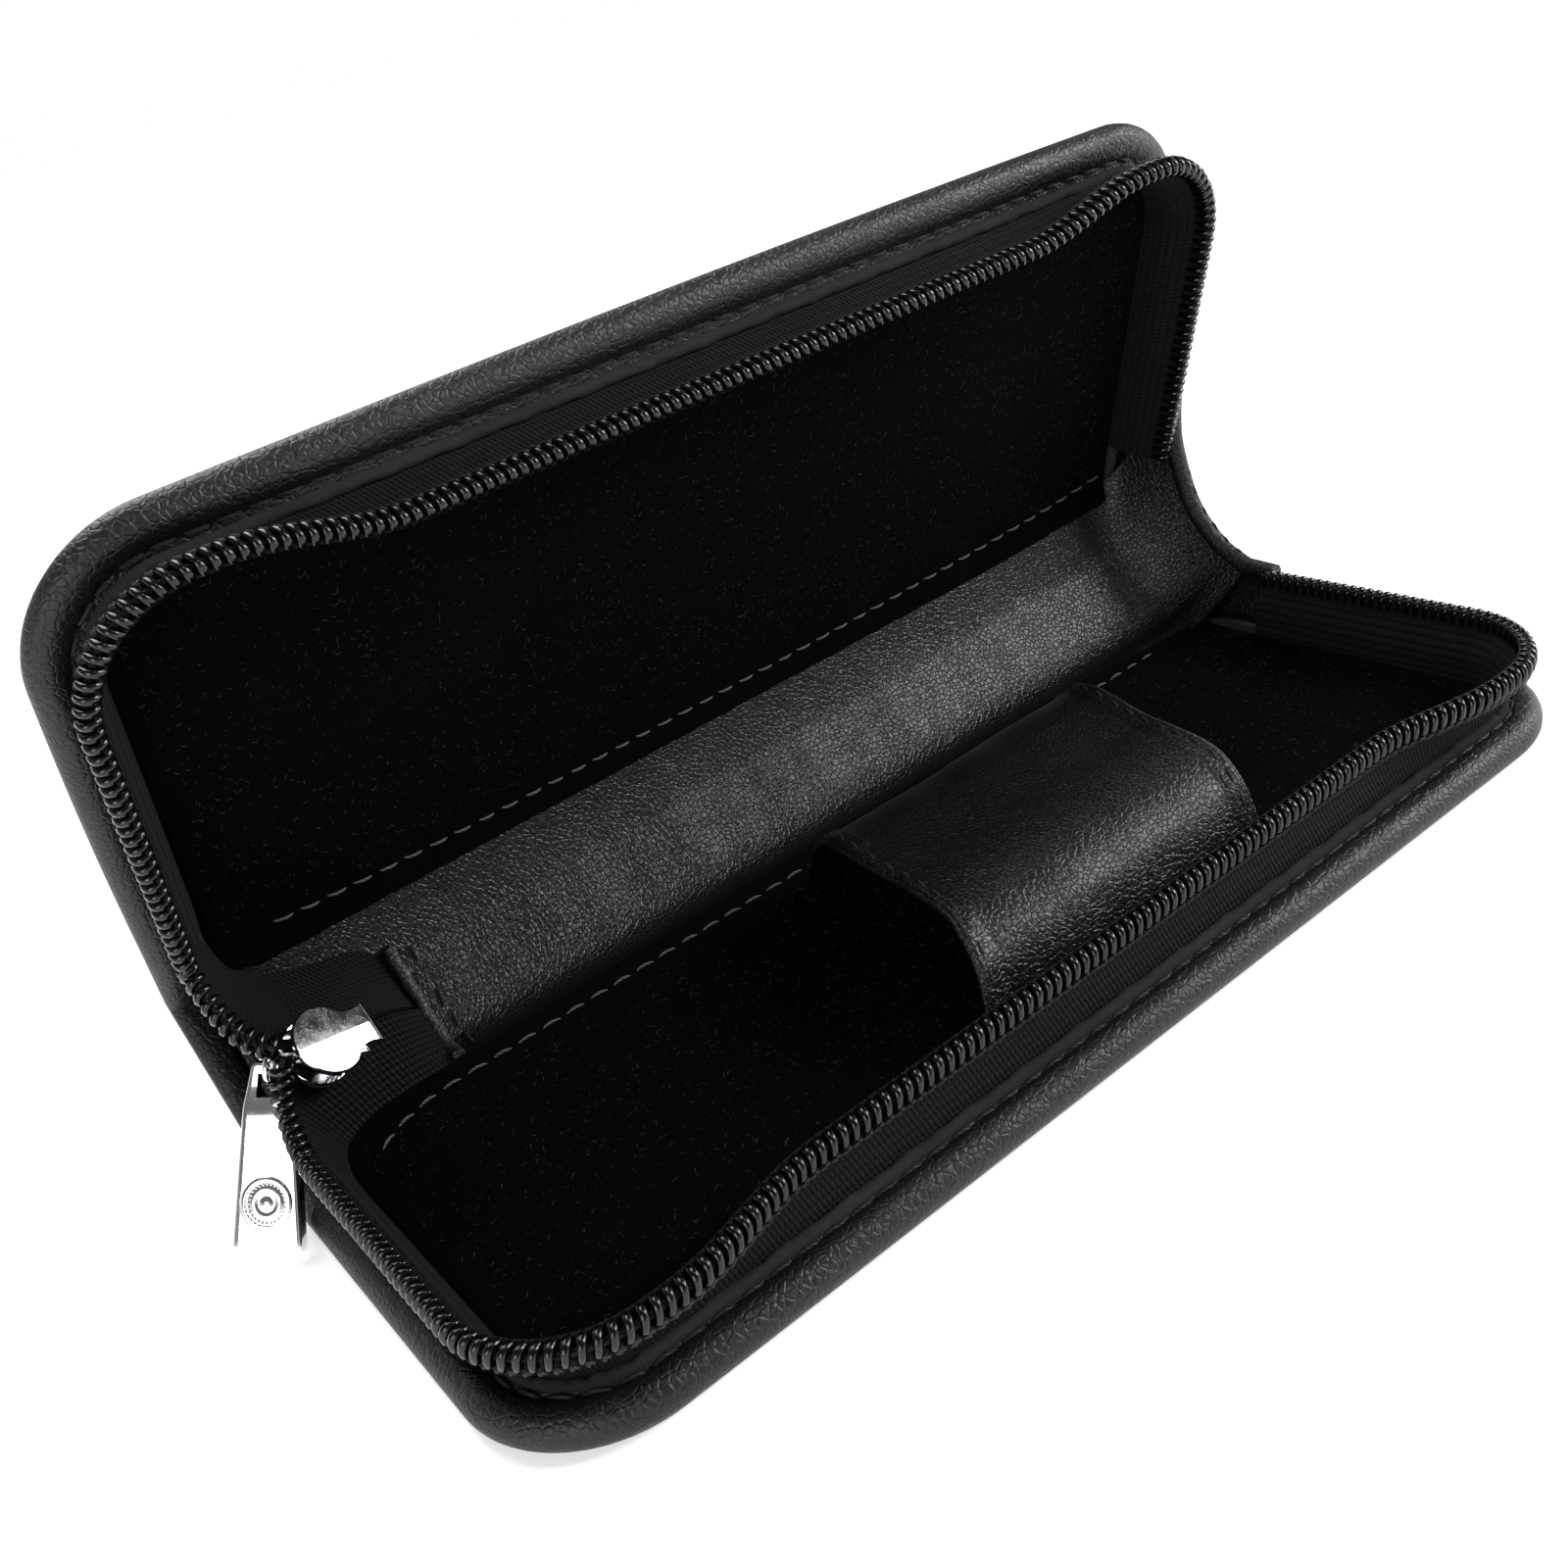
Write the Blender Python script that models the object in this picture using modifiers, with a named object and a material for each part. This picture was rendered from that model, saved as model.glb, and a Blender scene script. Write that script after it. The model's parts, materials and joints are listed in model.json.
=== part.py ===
"""Zip-around leather case for two fountain pens, standing open.

Metres, +Z up, with the table at Z = 0. X runs along the case, +Y is towards the spine, and the origin is
under the middle of the whole open case. Both halves are built by the same functions in a half's own frame, whose origin is on
its hinge line: x along the case, u away from the hinge line, w up from the half's outer face.
"""

import math

import bmesh
import bpy
from mathutils import Matrix, Vector

# The case.
HALF_LENGTH = 0.0823  # middle of the case to the outside of the rim at either end
HALF_DEPTH = 0.066  # hinge line to the outside of the front rim
PLAN_CORNER = 0.0155  # radius of the front corners, seen from above
LEATHER = 0.0013
RIM_RADIUS = 0.0023  # the rolled edge
LIP_INSET = 0.0054  # how far in from the outside the turned-over leather reaches
HINGE_LIFT = 0.0014  # hinge lines above the outer faces
SPINE_WIDTH = 0.0242  # between the two hinge lines
SPINE_ANGLE = math.radians(47.2)  # of the spine above the table
LID_ANGLE = math.radians(111)  # of the lid's inside above the table, measured from +Y
HINGE_GAP = 0.0008
ARC_STEPS = 6

# What each half holds.
FILLER_RADIUS = 0.0007
BOARD = (0.0034, 0.0016, 0.0029)  # inset, bottom, top
LINING = (0.0069, 0.0033, 0.0044)
TAPE_FOOT = (0.00615, 0.0033)  # inset, height
TAPE_MIDDLE = (0.0054, 0.0070)
TAPE_TOP = 0.0105
TAPE = 0.0006
COIL_INSET = 0.0020
COIL_HEIGHT = 0.0121
COIL_RADIUS = 0.00125
FRONT_LEAN = 0.0040  # how far the tape leans in along the middle of the front
LEAN_START, LEAN_END = 0.064, 0.044  # distances from the middle between which the lean grows
TAPE_ENDS = (0.0160, 0.0165)  # u where the tape leaves the left and right ends
COIL_ENDS = (0.0150, 0.0158)

# The pen sleeve, as (u, w) along its skin from the spine side to the front.
SLEEVE_SKIN = (
    (0.0115, 0.0049), (0.0142, 0.0086), (0.0180, 0.0138), (0.0220, 0.0166), (0.0262, 0.0176),
    (0.0312, 0.0172), (0.0362, 0.0170), (0.0412, 0.0174), (0.0460, 0.0175), (0.0500, 0.0166),
    (0.0532, 0.0142), (0.0551, 0.0104), (0.0560, 0.0049),
)
SLEEVE_LEFT = (-0.010, -0.017)  # x of the left edge at the spine side and at the front
SLEEVE_RIGHT = (0.038, 0.025)
SLEEVE_LEATHER = 0.0010
SLEEVE_LINING = 0.0005
TOUCH_GAP = 0.0003

# The spine, in its own frame: x, s from the base's hinge line to the lid's, p towards the inside.
SPINE_HALF_LENGTH = 0.0816
TROUGH_EDGES = (0.0038, 0.0204)  # s of the lining's two long edges
TROUGH_FLOOR = 0.0032
TROUGH_RISE = 0.0012
TROUGH_THICKNESS = 0.0009
TROUGH_LEFT = -0.0570
TROUGH_SCOOP = ((0.0700, 0.0), (0.0745, 0.0012), (0.0768, 0.0042), (0.0780, 0.0088))  # x, extra height
HEM_RADIUS = 0.0008
GUSSET = (0.0791, 0.0805)  # x of its two faces
GUSSET_TOP = 0.0135
GUSSET_CORNER = 0.004

# The zip's closed end with its slider, in the slider's frame: a along the chain, v across it, n inwards.
SLIDER_PLACE = Vector((-0.0712, 0.0086, 0.0151))  # in the spine's frame
SLIDER_DIP = math.radians(36)
PLATE_LENGTH = 0.0110
PLATE_FRONT = 0.0042  # half width of the round front
PLATE_WAIST = 0.0023
PLATE_TAIL = 0.0027
PLATE = 0.0009
PLATE_GAP = 0.0020
POST_PLACE = -0.0036
POST_RADIUS = 0.0010
STUB_START, STUB_END = 0.0050, 0.0158
STUB_HALF_WIDTH = 0.0048
CHAIN_HALF_WIDTH = 0.0022
STOP_LENGTH = 0.0020

# The pull hangs from a loop under the slider's nose.
PIVOT_PLACE = Vector((-0.0050, 0.0, -0.0041))
PULL_TIP_OFFSET = Vector((-0.0104, -0.0058, -0.0160))  # from the pivot to the middle of the pull's foot
PULL_ACROSS = Vector((-0.8, 0.6, 0.0))
LOOP_RADIUS, LOOP_WIRE = 0.0015, 0.0004
PULL_SECTIONS = (  # below the pivot, half width, half thickness
    (-0.0005, 0.0018, 0.0005), (0.0005, 0.0023, 0.0005), (0.0036, 0.0029, 0.0008),
    (0.0056, 0.0031, 0.0011), (0.0198, 0.0040, 0.0011),
)
WINDOW_HALF_WIDTH, WINDOW_TOP, WINDOW_FOOT = 0.0014, 0.0005, 0.0034
MEDALLION_RADIUS, MEDALLION_THICKNESS, MEDALLION_UP = 0.0031, 0.0004, 0.0052

BASE_SIDE, LID_SIDE = -1, 1  # which way u runs along a half's local Y
HINGE_PLACE = Vector((0.0045, 0.02427, HINGE_LIFT))


# Scene and materials.

def clear_scene():
    for item in list(bpy.data.objects):
        bpy.data.objects.remove(item, do_unlink=True)


def new_collection(name):
    collection = bpy.data.collections.new(name)
    bpy.context.scene.collection.children.link(collection)
    return collection


def new_material(name, colour, roughness, metallic=0.0):
    material = bpy.data.materials.new(name)
    material.use_nodes = True
    shader = material.node_tree.nodes["Principled BSDF"]
    shader.inputs["Base Color"].default_value = (*colour, 1)
    shader.inputs["Roughness"].default_value = roughness
    shader.inputs["Metallic"].default_value = metallic
    return material


clear_scene()
PARTS = new_collection("fountain_pen_case")
CUTTERS = new_collection("cutters")
OUTER_LEATHER = new_material("outer_leather", (0.012, 0.012, 0.013), 0.45)
INNER_LEATHER = new_material("inner_leather", (0.015, 0.015, 0.016), 0.40)
VELOUR = new_material("velour", (0.006, 0.006, 0.007), 0.95)
TAPE_CLOTH = new_material("tape_cloth", (0.014, 0.014, 0.015), 0.85)
NYLON = new_material("nylon", (0.010, 0.010, 0.011), 0.25)
BOARD_GREY = new_material("board", (0.20, 0.19, 0.17), 0.9)
FILLER_WHITE = new_material("filler", (0.55, 0.53, 0.50), 0.9)
CHROME = new_material("chrome", (0.80, 0.80, 0.82), 0.08, 1.0)


# Building blocks.

def add_object(name, data, parent, material):
    item = bpy.data.objects.new(name, data)
    item.parent = parent
    data.materials.append(material)
    PARTS.objects.link(item)
    return item


def add_empty(name, parent, location, rotation=(0, 0, 0)):
    empty = bpy.data.objects.new(name, None)
    empty.empty_display_size = 0.01
    empty.parent = parent
    empty.location = location
    empty.rotation_euler = rotation
    PARTS.objects.link(empty)
    return empty


def loft(name, rings, parent, material, thickness, offset=0.0, cap_first=False, flip=False):
    """A sheet through rings of equally many points, made solid. offset -1 adds the thickness behind."""
    mesh = bpy.data.meshes.new(name)
    build = bmesh.new()
    rows = [[build.verts.new(point) for point in ring] for ring in rings]
    for low, high in zip(rows, rows[1:]):
        for i in range(len(low) - 1):
            build.faces.new((low[i], low[i + 1], high[i + 1], high[i]))
    if cap_first:
        build.faces.new(reversed(rows[0]))
    if flip:
        bmesh.ops.reverse_faces(build, faces=build.faces)
    build.to_mesh(mesh)
    build.free()
    item = add_object(name, mesh, parent, material)
    solid = item.modifiers.new("thickness", "SOLIDIFY")
    solid.thickness = thickness
    solid.offset = offset
    solid.use_even_offset = True
    return item


def plate(name, outline, middle, thickness, parent, material, rotation=(0, 0, 0)):
    """A flat outline in its own XY plane, thickened about the point middle."""
    curve = bpy.data.curves.new(name, "CURVE")
    curve.dimensions = "2D"
    curve.fill_mode = "BOTH"
    curve.extrude = thickness / 2
    spline = curve.splines.new("POLY")
    spline.points.add(len(outline) - 1)
    for point, (x, y) in zip(spline.points, outline):
        point.co = (x, y, 0, 1)
    spline.use_cyclic_u = True
    item = add_object(name, curve, parent, material)
    item.location = middle
    item.rotation_euler = rotation
    return item


def tube(name, route, radius, parent, material, resolution=2):
    curve = bpy.data.curves.new(name, "CURVE")
    curve.dimensions = "3D"
    curve.bevel_depth = radius
    curve.bevel_resolution = resolution
    curve.use_fill_caps = True
    spline = curve.splines.new("POLY")
    spline.points.add(len(route) - 1)
    for point, place in zip(spline.points, route):
        point.co = (*place, 1)
    return add_object(name, curve, parent, material)


def box(name, low, high, parent, material, bevel=0.0):
    mesh = bpy.data.meshes.new(name)
    build = bmesh.new()
    bmesh.ops.create_cube(build, size=1)
    size = [b - a for a, b in zip(low, high)]
    middle = [(a + b) / 2 for a, b in zip(low, high)]
    bmesh.ops.transform(build, matrix=Matrix.Translation(middle) @ Matrix.Diagonal((*size, 1)), verts=build.verts)
    build.to_mesh(mesh)
    build.free()
    item = add_object(name, mesh, parent, material)
    if bevel:
        rounding = item.modifiers.new("rounding", "BEVEL")
        rounding.width = bevel
        rounding.segments = 2
    return item


def cylinder(name, radius, height, parent, material, location, rotation=(0, 0, 0), steps=24):
    mesh = bpy.data.meshes.new(name)
    build = bmesh.new()
    bmesh.ops.create_cone(build, cap_ends=True, segments=steps, radius1=radius, radius2=radius, depth=height)
    build.to_mesh(mesh)
    build.free()
    item = add_object(name, mesh, parent, material)
    item.location = location
    item.rotation_euler = rotation
    return item


def as_mesh(item):
    """The evaluated shape of a curve as a welded mesh object of the same name."""
    bpy.context.view_layer.update()
    mesh = bpy.data.meshes.new_from_object(item.evaluated_get(bpy.context.evaluated_depsgraph_get()))
    build = bmesh.new()
    build.from_mesh(mesh)
    bmesh.ops.remove_doubles(build, verts=build.verts, dist=1e-6)
    build.to_mesh(mesh)
    build.free()
    name, parent, place = item.name, item.parent, item.matrix_basis.copy()
    bpy.data.objects.remove(item, do_unlink=True)
    made = bpy.data.objects.new(name, mesh)
    made.parent = parent
    made.matrix_basis = place
    PARTS.objects.link(made)
    return made


def combine(item, others, operation):
    """Booleans other objects into item; they become hidden helpers."""
    for other in others:
        PARTS.objects.unlink(other)
        CUTTERS.objects.link(other)
        other.hide_render = True
        other.display_type = "WIRE"
        step = item.modifiers.new(other.name, "BOOLEAN")
        step.operation = operation
        step.object = other
        step.solver = "EXACT"


def arc(centre, radius, start, stop, steps=ARC_STEPS):
    """Points of an arc in a plane, angles in degrees."""
    angles = [math.radians(start + (stop - start) * i / steps) for i in range(steps + 1)]
    return [(centre[0] + radius * math.cos(a), centre[1] + radius * math.sin(a)) for a in angles]


# A half's plan, as (x, u).

def plan_path(inset, left_end, right_end, lean=0.0, front_steps=1):
    """Round three sides of a half, from the left end's back to the right end's back."""
    half, front, corner = HALF_LENGTH - inset, HALF_DEPTH - inset, PLAN_CORNER - inset
    left = arc((corner - half, front - corner), corner, 180, 90)
    right = arc((half - corner, front - corner), corner, 90, 0)
    between = [
        (left[-1][0] + (right[0][0] - left[-1][0]) * i / front_steps, front) for i in range(1, front_steps)
    ]
    points = [(-half, left_end)] + left + between + right + [(half, right_end)]
    return [(x, u - lean * lean_share(x) * (u > front - corner)) for x, u in points]


def lean_share(x):
    """How much of the lean there is at x: none at the corners, all of it in the middle."""
    t = min(max((LEAN_START - abs(x)) / (LEAN_START - LEAN_END), 0), 1)
    return t * t * (3 - 2 * t)


def in_half(path, w, side):
    return [(x, side * u, w - HINGE_LIFT) for x, u in path]


def half_cover(name, side, parent):
    """Outer leather of a half: a flat panel whose edge rolls up and over into a lip."""
    section = [(RIM_RADIUS - r, RIM_RADIUS + h) for r, h in arc((0, 0), RIM_RADIUS, -90, 90, 8)]
    section.append((LIP_INSET, 2 * RIM_RADIUS - 0.0001))
    rings = [in_half(plan_path(i, HINGE_GAP, HINGE_GAP), w, side) for i, w in section]
    loft(name, rings, parent, OUTER_LEATHER, LEATHER, offset=-1, cap_first=True, flip=side > 0)


def half_filler(name, side, parent):
    """The soft cord inside the rolled edge."""
    end = HINGE_GAP + RIM_RADIUS
    tube(name, in_half(plan_path(RIM_RADIUS, end, end), RIM_RADIUS, side), FILLER_RADIUS, parent, FILLER_WHITE)


def half_panel(name, side, parent, sizes, back, material):
    inset, low, high = sizes
    outline = [(x, side * u) for x, u in plan_path(inset, back, back)]
    plate(name, outline, (0, 0, (low + high) / 2 - HINGE_LIFT), high - low, parent, material)


def half_tape(name, side, parent):
    """Half of the zip's woven tape, standing on the edge of the panel."""
    rings = [
        in_half(plan_path(inset, *TAPE_ENDS, lean, 14), w, side)
        for inset, w, lean in (
            (*TAPE_FOOT, 0),
            (*TAPE_MIDDLE, FRONT_LEAN / 3),
            (COIL_INSET, TAPE_TOP, FRONT_LEAN),
        )
    ]
    loft(name, rings, parent, TAPE_CLOTH, TAPE)


def half_coil(name, side, parent):
    """The outer shape of the nylon coil along the tape's top."""
    route = in_half(plan_path(COIL_INSET, *COIL_ENDS, FRONT_LEAN, 14), COIL_HEIGHT, side)
    tube(name, route, COIL_RADIUS, parent, NYLON)


def build_half(prefix, side, parent):
    half_cover(prefix + "_cover", side, parent)
    half_filler(prefix + "_edge_filler", side, parent)
    half_panel(prefix + "_stiffener", side, parent, BOARD, 0.0030, BOARD_GREY)
    half_panel(prefix + "_lining", side, parent, LINING, 0.0070, VELOUR)
    half_tape(prefix + "_zip_tape", side, parent)
    half_coil(prefix + "_zip_coil", side, parent)


# The sleeve that holds the pens.

def inside_of(skin, depth):
    """The skin moved inwards by depth, square to itself, with its ends cut level with the skin's own."""
    moved = []
    for i, (u, w) in enumerate(skin):
        before, after = skin[max(i - 1, 0)], skin[min(i + 1, len(skin) - 1)]
        along = Vector((after[0] - before[0], after[1] - before[1])).normalized()
        moved.append((u + along.y * depth, w - along.x * depth))
    return [cut_level(moved[0], moved[1], skin[0][1])] + moved[1:-1] + [cut_level(moved[-1], moved[-2], skin[-1][1])]


def cut_level(low, high, w):
    """Where the line through two points is at height w."""
    t = (w - low[1]) / (high[1] - low[1])
    return low[0] + (high[0] - low[0]) * t, w


def sleeve_sheet(name, parent, depth, thickness, trim, material):
    skin = inside_of(SLEEVE_SKIN, depth)
    rings = [[], []]
    for i, (u, w) in enumerate(skin):
        t = i / (len(skin) - 1)
        for ring, (spine_x, front_x), sign in zip(rings, (SLEEVE_LEFT, SLEEVE_RIGHT), (1, -1)):
            x = spine_x + (front_x - spine_x) * t + sign * trim
            ring.append((x, -u, w - HINGE_LIFT))
    loft(name, rings, parent, material, thickness)


def build_sleeve(parent):
    sleeve_sheet("pen_sleeve", parent, SLEEVE_LEATHER / 2, SLEEVE_LEATHER, 0, INNER_LEATHER)
    lining_depth = SLEEVE_LEATHER + TOUCH_GAP + SLEEVE_LINING / 2
    sleeve_sheet("pen_sleeve_lining", parent, lining_depth, SLEEVE_LINING, 0.0015, VELOUR)


# The spine.

def trough_height(s):
    middle = SPINE_WIDTH / 2
    return TROUGH_FLOOR + TROUGH_RISE * ((s - middle) / (middle - TROUGH_EDGES[0])) ** 2


def build_spine(parent):
    low = (-SPINE_HALF_LENGTH, HINGE_GAP + 0.0002, -HINGE_LIFT)
    high = (SPINE_HALF_LENGTH, SPINE_WIDTH - HINGE_GAP - 0.0002, LEATHER - HINGE_LIFT)
    box("spine_cover", low, high, parent, OUTER_LEATHER, bevel=0.0003)
    steps = 8
    first, last = TROUGH_EDGES
    across = [first + (last - first) * i / steps for i in range(steps + 1)]
    stations = ((TROUGH_LEFT, 0.0), *TROUGH_SCOOP)
    rings = [[(x, s, trough_height(s) + lift) for s in across] for x, lift in stations]
    loft("spine_lining", rings, parent, INNER_LEATHER, TROUGH_THICKNESS)
    hem_x = TROUGH_LEFT - HEM_RADIUS - TOUCH_GAP
    tube("spine_lining_hem", [(hem_x, s, trough_height(s)) for s in across], HEM_RADIUS, parent, INNER_LEATHER)
    corner_low, corner_high = first, last
    outline = [(corner_low, 0.0003), (corner_high, 0.0003)]
    outline += arc((corner_high - GUSSET_CORNER, GUSSET_TOP - GUSSET_CORNER), GUSSET_CORNER, 0, 90)
    outline += arc((corner_low + GUSSET_CORNER, GUSSET_TOP - GUSSET_CORNER), GUSSET_CORNER, 90, 180)
    middle = (sum(GUSSET) / 2, 0, 0)
    upright = (math.pi / 2, 0, math.pi / 2)
    plate("end_gusset", outline, middle, GUSSET[1] - GUSSET[0], parent, OUTER_LEATHER, upright)


# The zip's closed end, its slider and its pull.

def build_stub(parent):
    half = STUB_HALF_WIDTH
    box("stub_zip_tape", (STUB_START, -half, -0.0008), (STUB_END, half, -0.0003), parent, TAPE_CLOTH)
    chain_end = STUB_END - STOP_LENGTH - TOUCH_GAP
    low, high = (STUB_START, -CHAIN_HALF_WIDTH, 0.0), (chain_end, CHAIN_HALF_WIDTH, 0.0009)
    box("stub_zip_chain", low, high, parent, NYLON)
    low, high = (STUB_END - STOP_LENGTH, -CHAIN_HALF_WIDTH, 0.0), (STUB_END, CHAIN_HALF_WIDTH, 0.0009)
    box("zip_bottom_stop", low, high, parent, CHROME, bevel=0.0002)


def plate_outline():
    """A slider's face: a round nose, a waist and a square tail."""
    nose = PLATE_FRONT - PLATE_LENGTH / 2
    round_front = arc((nose, 0), PLATE_FRONT, 55, 305, 16)
    tail = PLATE_LENGTH / 2
    return round_front + [(tail - 0.0022, -PLATE_WAIST), (tail, -PLATE_TAIL), (tail, PLATE_TAIL), (tail - 0.0022, PLATE_WAIST)]


def build_slider(parent):
    reach = (PLATE_GAP + PLATE) / 2
    outline = plate_outline()
    body = as_mesh(plate("slider_body", outline, (0, 0, -reach), PLATE, parent, CHROME))
    inner = as_mesh(plate("slider_inner_plate", outline, (0, 0, reach), PLATE, parent, CHROME))
    post_height = PLATE_GAP + PLATE
    post = cylinder("slider_post", POST_RADIUS, post_height, parent, CHROME, (POST_PLACE, 0, 0))
    combine(body, [inner, post], "UNION")


def build_pull(parent):
    """The pull hangs along its own -Z, and faces outwards along +Y. Its crossbar is on the joint's axis."""
    mesh = bpy.data.meshes.new("pull_tab")
    build = bmesh.new()
    corners = ((-1, -1), (1, -1), (1, 1), (-1, 1))
    rings = [
        [build.verts.new((i * width, j * thickness, -down)) for i, j in corners]
        for down, width, thickness in PULL_SECTIONS
    ]
    for high, low in zip(rings, rings[1:]):
        for i in range(4):
            build.faces.new((low[i], low[(i + 1) % 4], high[(i + 1) % 4], high[i]))
    build.faces.new(rings[0])
    build.faces.new(reversed(rings[-1]))
    build.to_mesh(mesh)
    build.free()
    pull = add_object("pull_tab", mesh, parent, CHROME)
    thickest = PULL_SECTIONS[-1][2]
    low = (-WINDOW_HALF_WIDTH, -2 * thickest, -WINDOW_FOOT)
    high = (WINDOW_HALF_WIDTH, 2 * thickest, -WINDOW_TOP)
    window = box("pull_window", low, high, parent, CHROME)
    combine(pull, [window], "DIFFERENCE")
    lift = thickest + TOUCH_GAP + MEDALLION_THICKNESS / 2
    place = (0, lift, MEDALLION_UP - PULL_SECTIONS[-1][0])
    upright = (math.pi / 2, 0, 0)
    cylinder("pull_medallion", MEDALLION_RADIUS, MEDALLION_THICKNESS, parent, CHROME, place, upright, 32)


def build_loop(parent):
    """The wire loop that carries the pull: it runs round the pull's crossbar."""
    route = [(0, y, z) for y, z in arc((0, 0), LOOP_RADIUS, 40, 380, 22)]
    tube("slider_loop", route, LOOP_WIRE, parent, CHROME)


def pull_frame():
    """Rotation whose -Z runs from the pivot to the pull's foot and whose +Y faces out of the case."""
    up = -PULL_TIP_OFFSET.normalized()
    across = (PULL_ACROSS - up * PULL_ACROSS.dot(up)).normalized()
    facing = up.cross(across)
    return Matrix((across, facing, up)).transposed().to_4x4()


def main():
    base = add_empty("base_hinge_line", None, HINGE_PLACE)
    spine = add_empty("spine_hinge_axis", None, HINGE_PLACE, (SPINE_ANGLE, 0, 0))
    lid = add_empty("lid_hinge_axis", spine, (0, SPINE_WIDTH, 0), (LID_ANGLE - SPINE_ANGLE, 0, 0))
    zip_end = add_empty("zip_end", spine, SLIDER_PLACE, (0, SLIDER_DIP, 0))
    bpy.context.view_layer.update()
    pivot = zip_end.matrix_world @ PIVOT_PLACE
    loop = add_empty("loop_turn_axis", None, pivot)
    loop.matrix_world = Matrix.Translation(pivot) @ pull_frame()
    swing = add_empty("pull_swing_axis", loop, (0, 0, 0))
    bpy.context.view_layer.update()
    build_half("base", BASE_SIDE, base)
    build_half("lid", LID_SIDE, lid)
    build_sleeve(base)
    build_spine(spine)
    build_stub(zip_end)
    build_slider(zip_end)
    build_loop(loop)
    build_pull(swing)


main()
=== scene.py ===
"""The looks of the zip-around pen case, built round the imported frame. Lengths here are in millimetres."""

import json
import math
import random

import bmesh
import bpy
import numpy as np
from mathutils import Matrix, Vector


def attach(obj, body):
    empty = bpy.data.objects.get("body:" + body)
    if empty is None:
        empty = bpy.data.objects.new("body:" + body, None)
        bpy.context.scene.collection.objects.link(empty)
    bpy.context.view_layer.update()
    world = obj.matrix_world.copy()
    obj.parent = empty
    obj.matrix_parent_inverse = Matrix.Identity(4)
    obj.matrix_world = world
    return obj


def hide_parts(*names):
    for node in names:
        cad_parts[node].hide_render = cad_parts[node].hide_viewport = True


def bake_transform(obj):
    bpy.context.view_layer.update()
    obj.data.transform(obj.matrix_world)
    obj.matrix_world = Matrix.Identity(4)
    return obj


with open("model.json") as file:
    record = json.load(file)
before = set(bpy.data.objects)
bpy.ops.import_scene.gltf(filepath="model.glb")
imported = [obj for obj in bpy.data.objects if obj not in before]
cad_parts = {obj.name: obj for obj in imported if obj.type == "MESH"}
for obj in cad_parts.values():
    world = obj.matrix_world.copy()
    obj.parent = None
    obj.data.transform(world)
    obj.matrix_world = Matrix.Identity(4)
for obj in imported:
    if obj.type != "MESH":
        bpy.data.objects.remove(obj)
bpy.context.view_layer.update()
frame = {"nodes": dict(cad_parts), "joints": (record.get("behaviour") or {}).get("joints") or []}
MM = 0.001
JOINTS = {joint["name"]: joint for joint in frame["joints"]}
HINGE_1 = np.array(JOINTS["spine_hinge"]["pos_m"]) / MM
HINGE_2 = np.array(JOINTS["lid_hinge"]["pos_m"]) / MM
PIVOT = np.array(JOINTS["pull_swing"]["pos_m"]) / MM
CENTRE_X = HINGE_1[0]
SPINE_ANGLE = math.atan2(HINGE_2[2] - HINGE_1[2], HINGE_2[1] - HINGE_1[1])
SPINE_WIDTH = math.hypot(HINGE_2[1] - HINGE_1[1], HINGE_2[2] - HINGE_1[2])
LID_ANGLE = math.radians(111)
LIFT = 1.4  # hinge lines above the outer faces
HALF_LENGTH, HALF_DEPTH, CORNER = 82.3, 66.0, 15.5
rng = random.Random(4)


# Places: a half's own x, u, w; the spine's x, s, p; the slider's a, v, n.

def base_at(x, u, w):
    return np.array((x + CENTRE_X, HINGE_1[1] - u, HINGE_1[2] + w - LIFT))


def lid_at(x, u, w):
    c, s = math.cos(LID_ANGLE), math.sin(LID_ANGLE)
    return np.array((x + CENTRE_X, HINGE_2[1] + u * c - (w - LIFT) * s, HINGE_2[2] + u * s + (w - LIFT) * c))


def spine_at(x, s, p):
    c, k = math.cos(SPINE_ANGLE), math.sin(SPINE_ANGLE)
    return np.array((x + CENTRE_X, HINGE_1[1] + s * c - p * k, HINGE_1[2] + s * k + p * c))


SLIDER_CENTRE = (-71.2, 7.6, 15.3)
DIP = math.radians(29)


def zip_at(a, v, n):
    x, s, p = SLIDER_CENTRE
    c, k = math.cos(DIP), math.sin(DIP)
    return spine_at(x + a * c + n * k, s + v, p - a * k + n * c)


# Curves.

def smooth(points, count):
    """count points along a smooth curve through the given ones (Catmull-Rom, even in arc length)."""
    pts = np.array(points, float)
    ext = np.vstack([2 * pts[0] - pts[1], pts, 2 * pts[-1] - pts[-2]])
    dense = []
    for i in range(1, len(ext) - 2):
        a, b, c, d = ext[i - 1 : i + 3]
        terms = (2 * b, c - a, 2 * a - 5 * b + 4 * c - d, 3 * b - a - 3 * c + d)
        for t in np.linspace(0, 1, 24, endpoint=False):
            dense.append(0.5 * sum(term * t**power for power, term in enumerate(terms)))
    dense.append(pts[-1])
    return evenly(dense, count)


def lengths(points):
    steps = np.linalg.norm(np.diff(np.array(points, float), axis=0), axis=1)
    return np.concatenate([[0], np.cumsum(steps)])


def sample(points, along, where):
    """The points' values at some distances, with along as the distance of each point."""
    data = np.array(points, float)
    return np.stack([np.interp(where, along, data[:, k]) for k in range(data.shape[1])], axis=-1)


def evenly(points, count):
    along = lengths(points)
    return sample(points, along, np.linspace(0, along[-1], count))


def unit(vectors):
    size = np.linalg.norm(vectors, axis=-1, keepdims=True)
    return vectors / np.maximum(size, 1e-9)


def turned(path):
    """The unit normals of a flat path, to its left."""
    step = np.gradient(path, axis=0)
    return unit(np.stack([-step[:, 1], step[:, 0]], axis=1))


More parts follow.
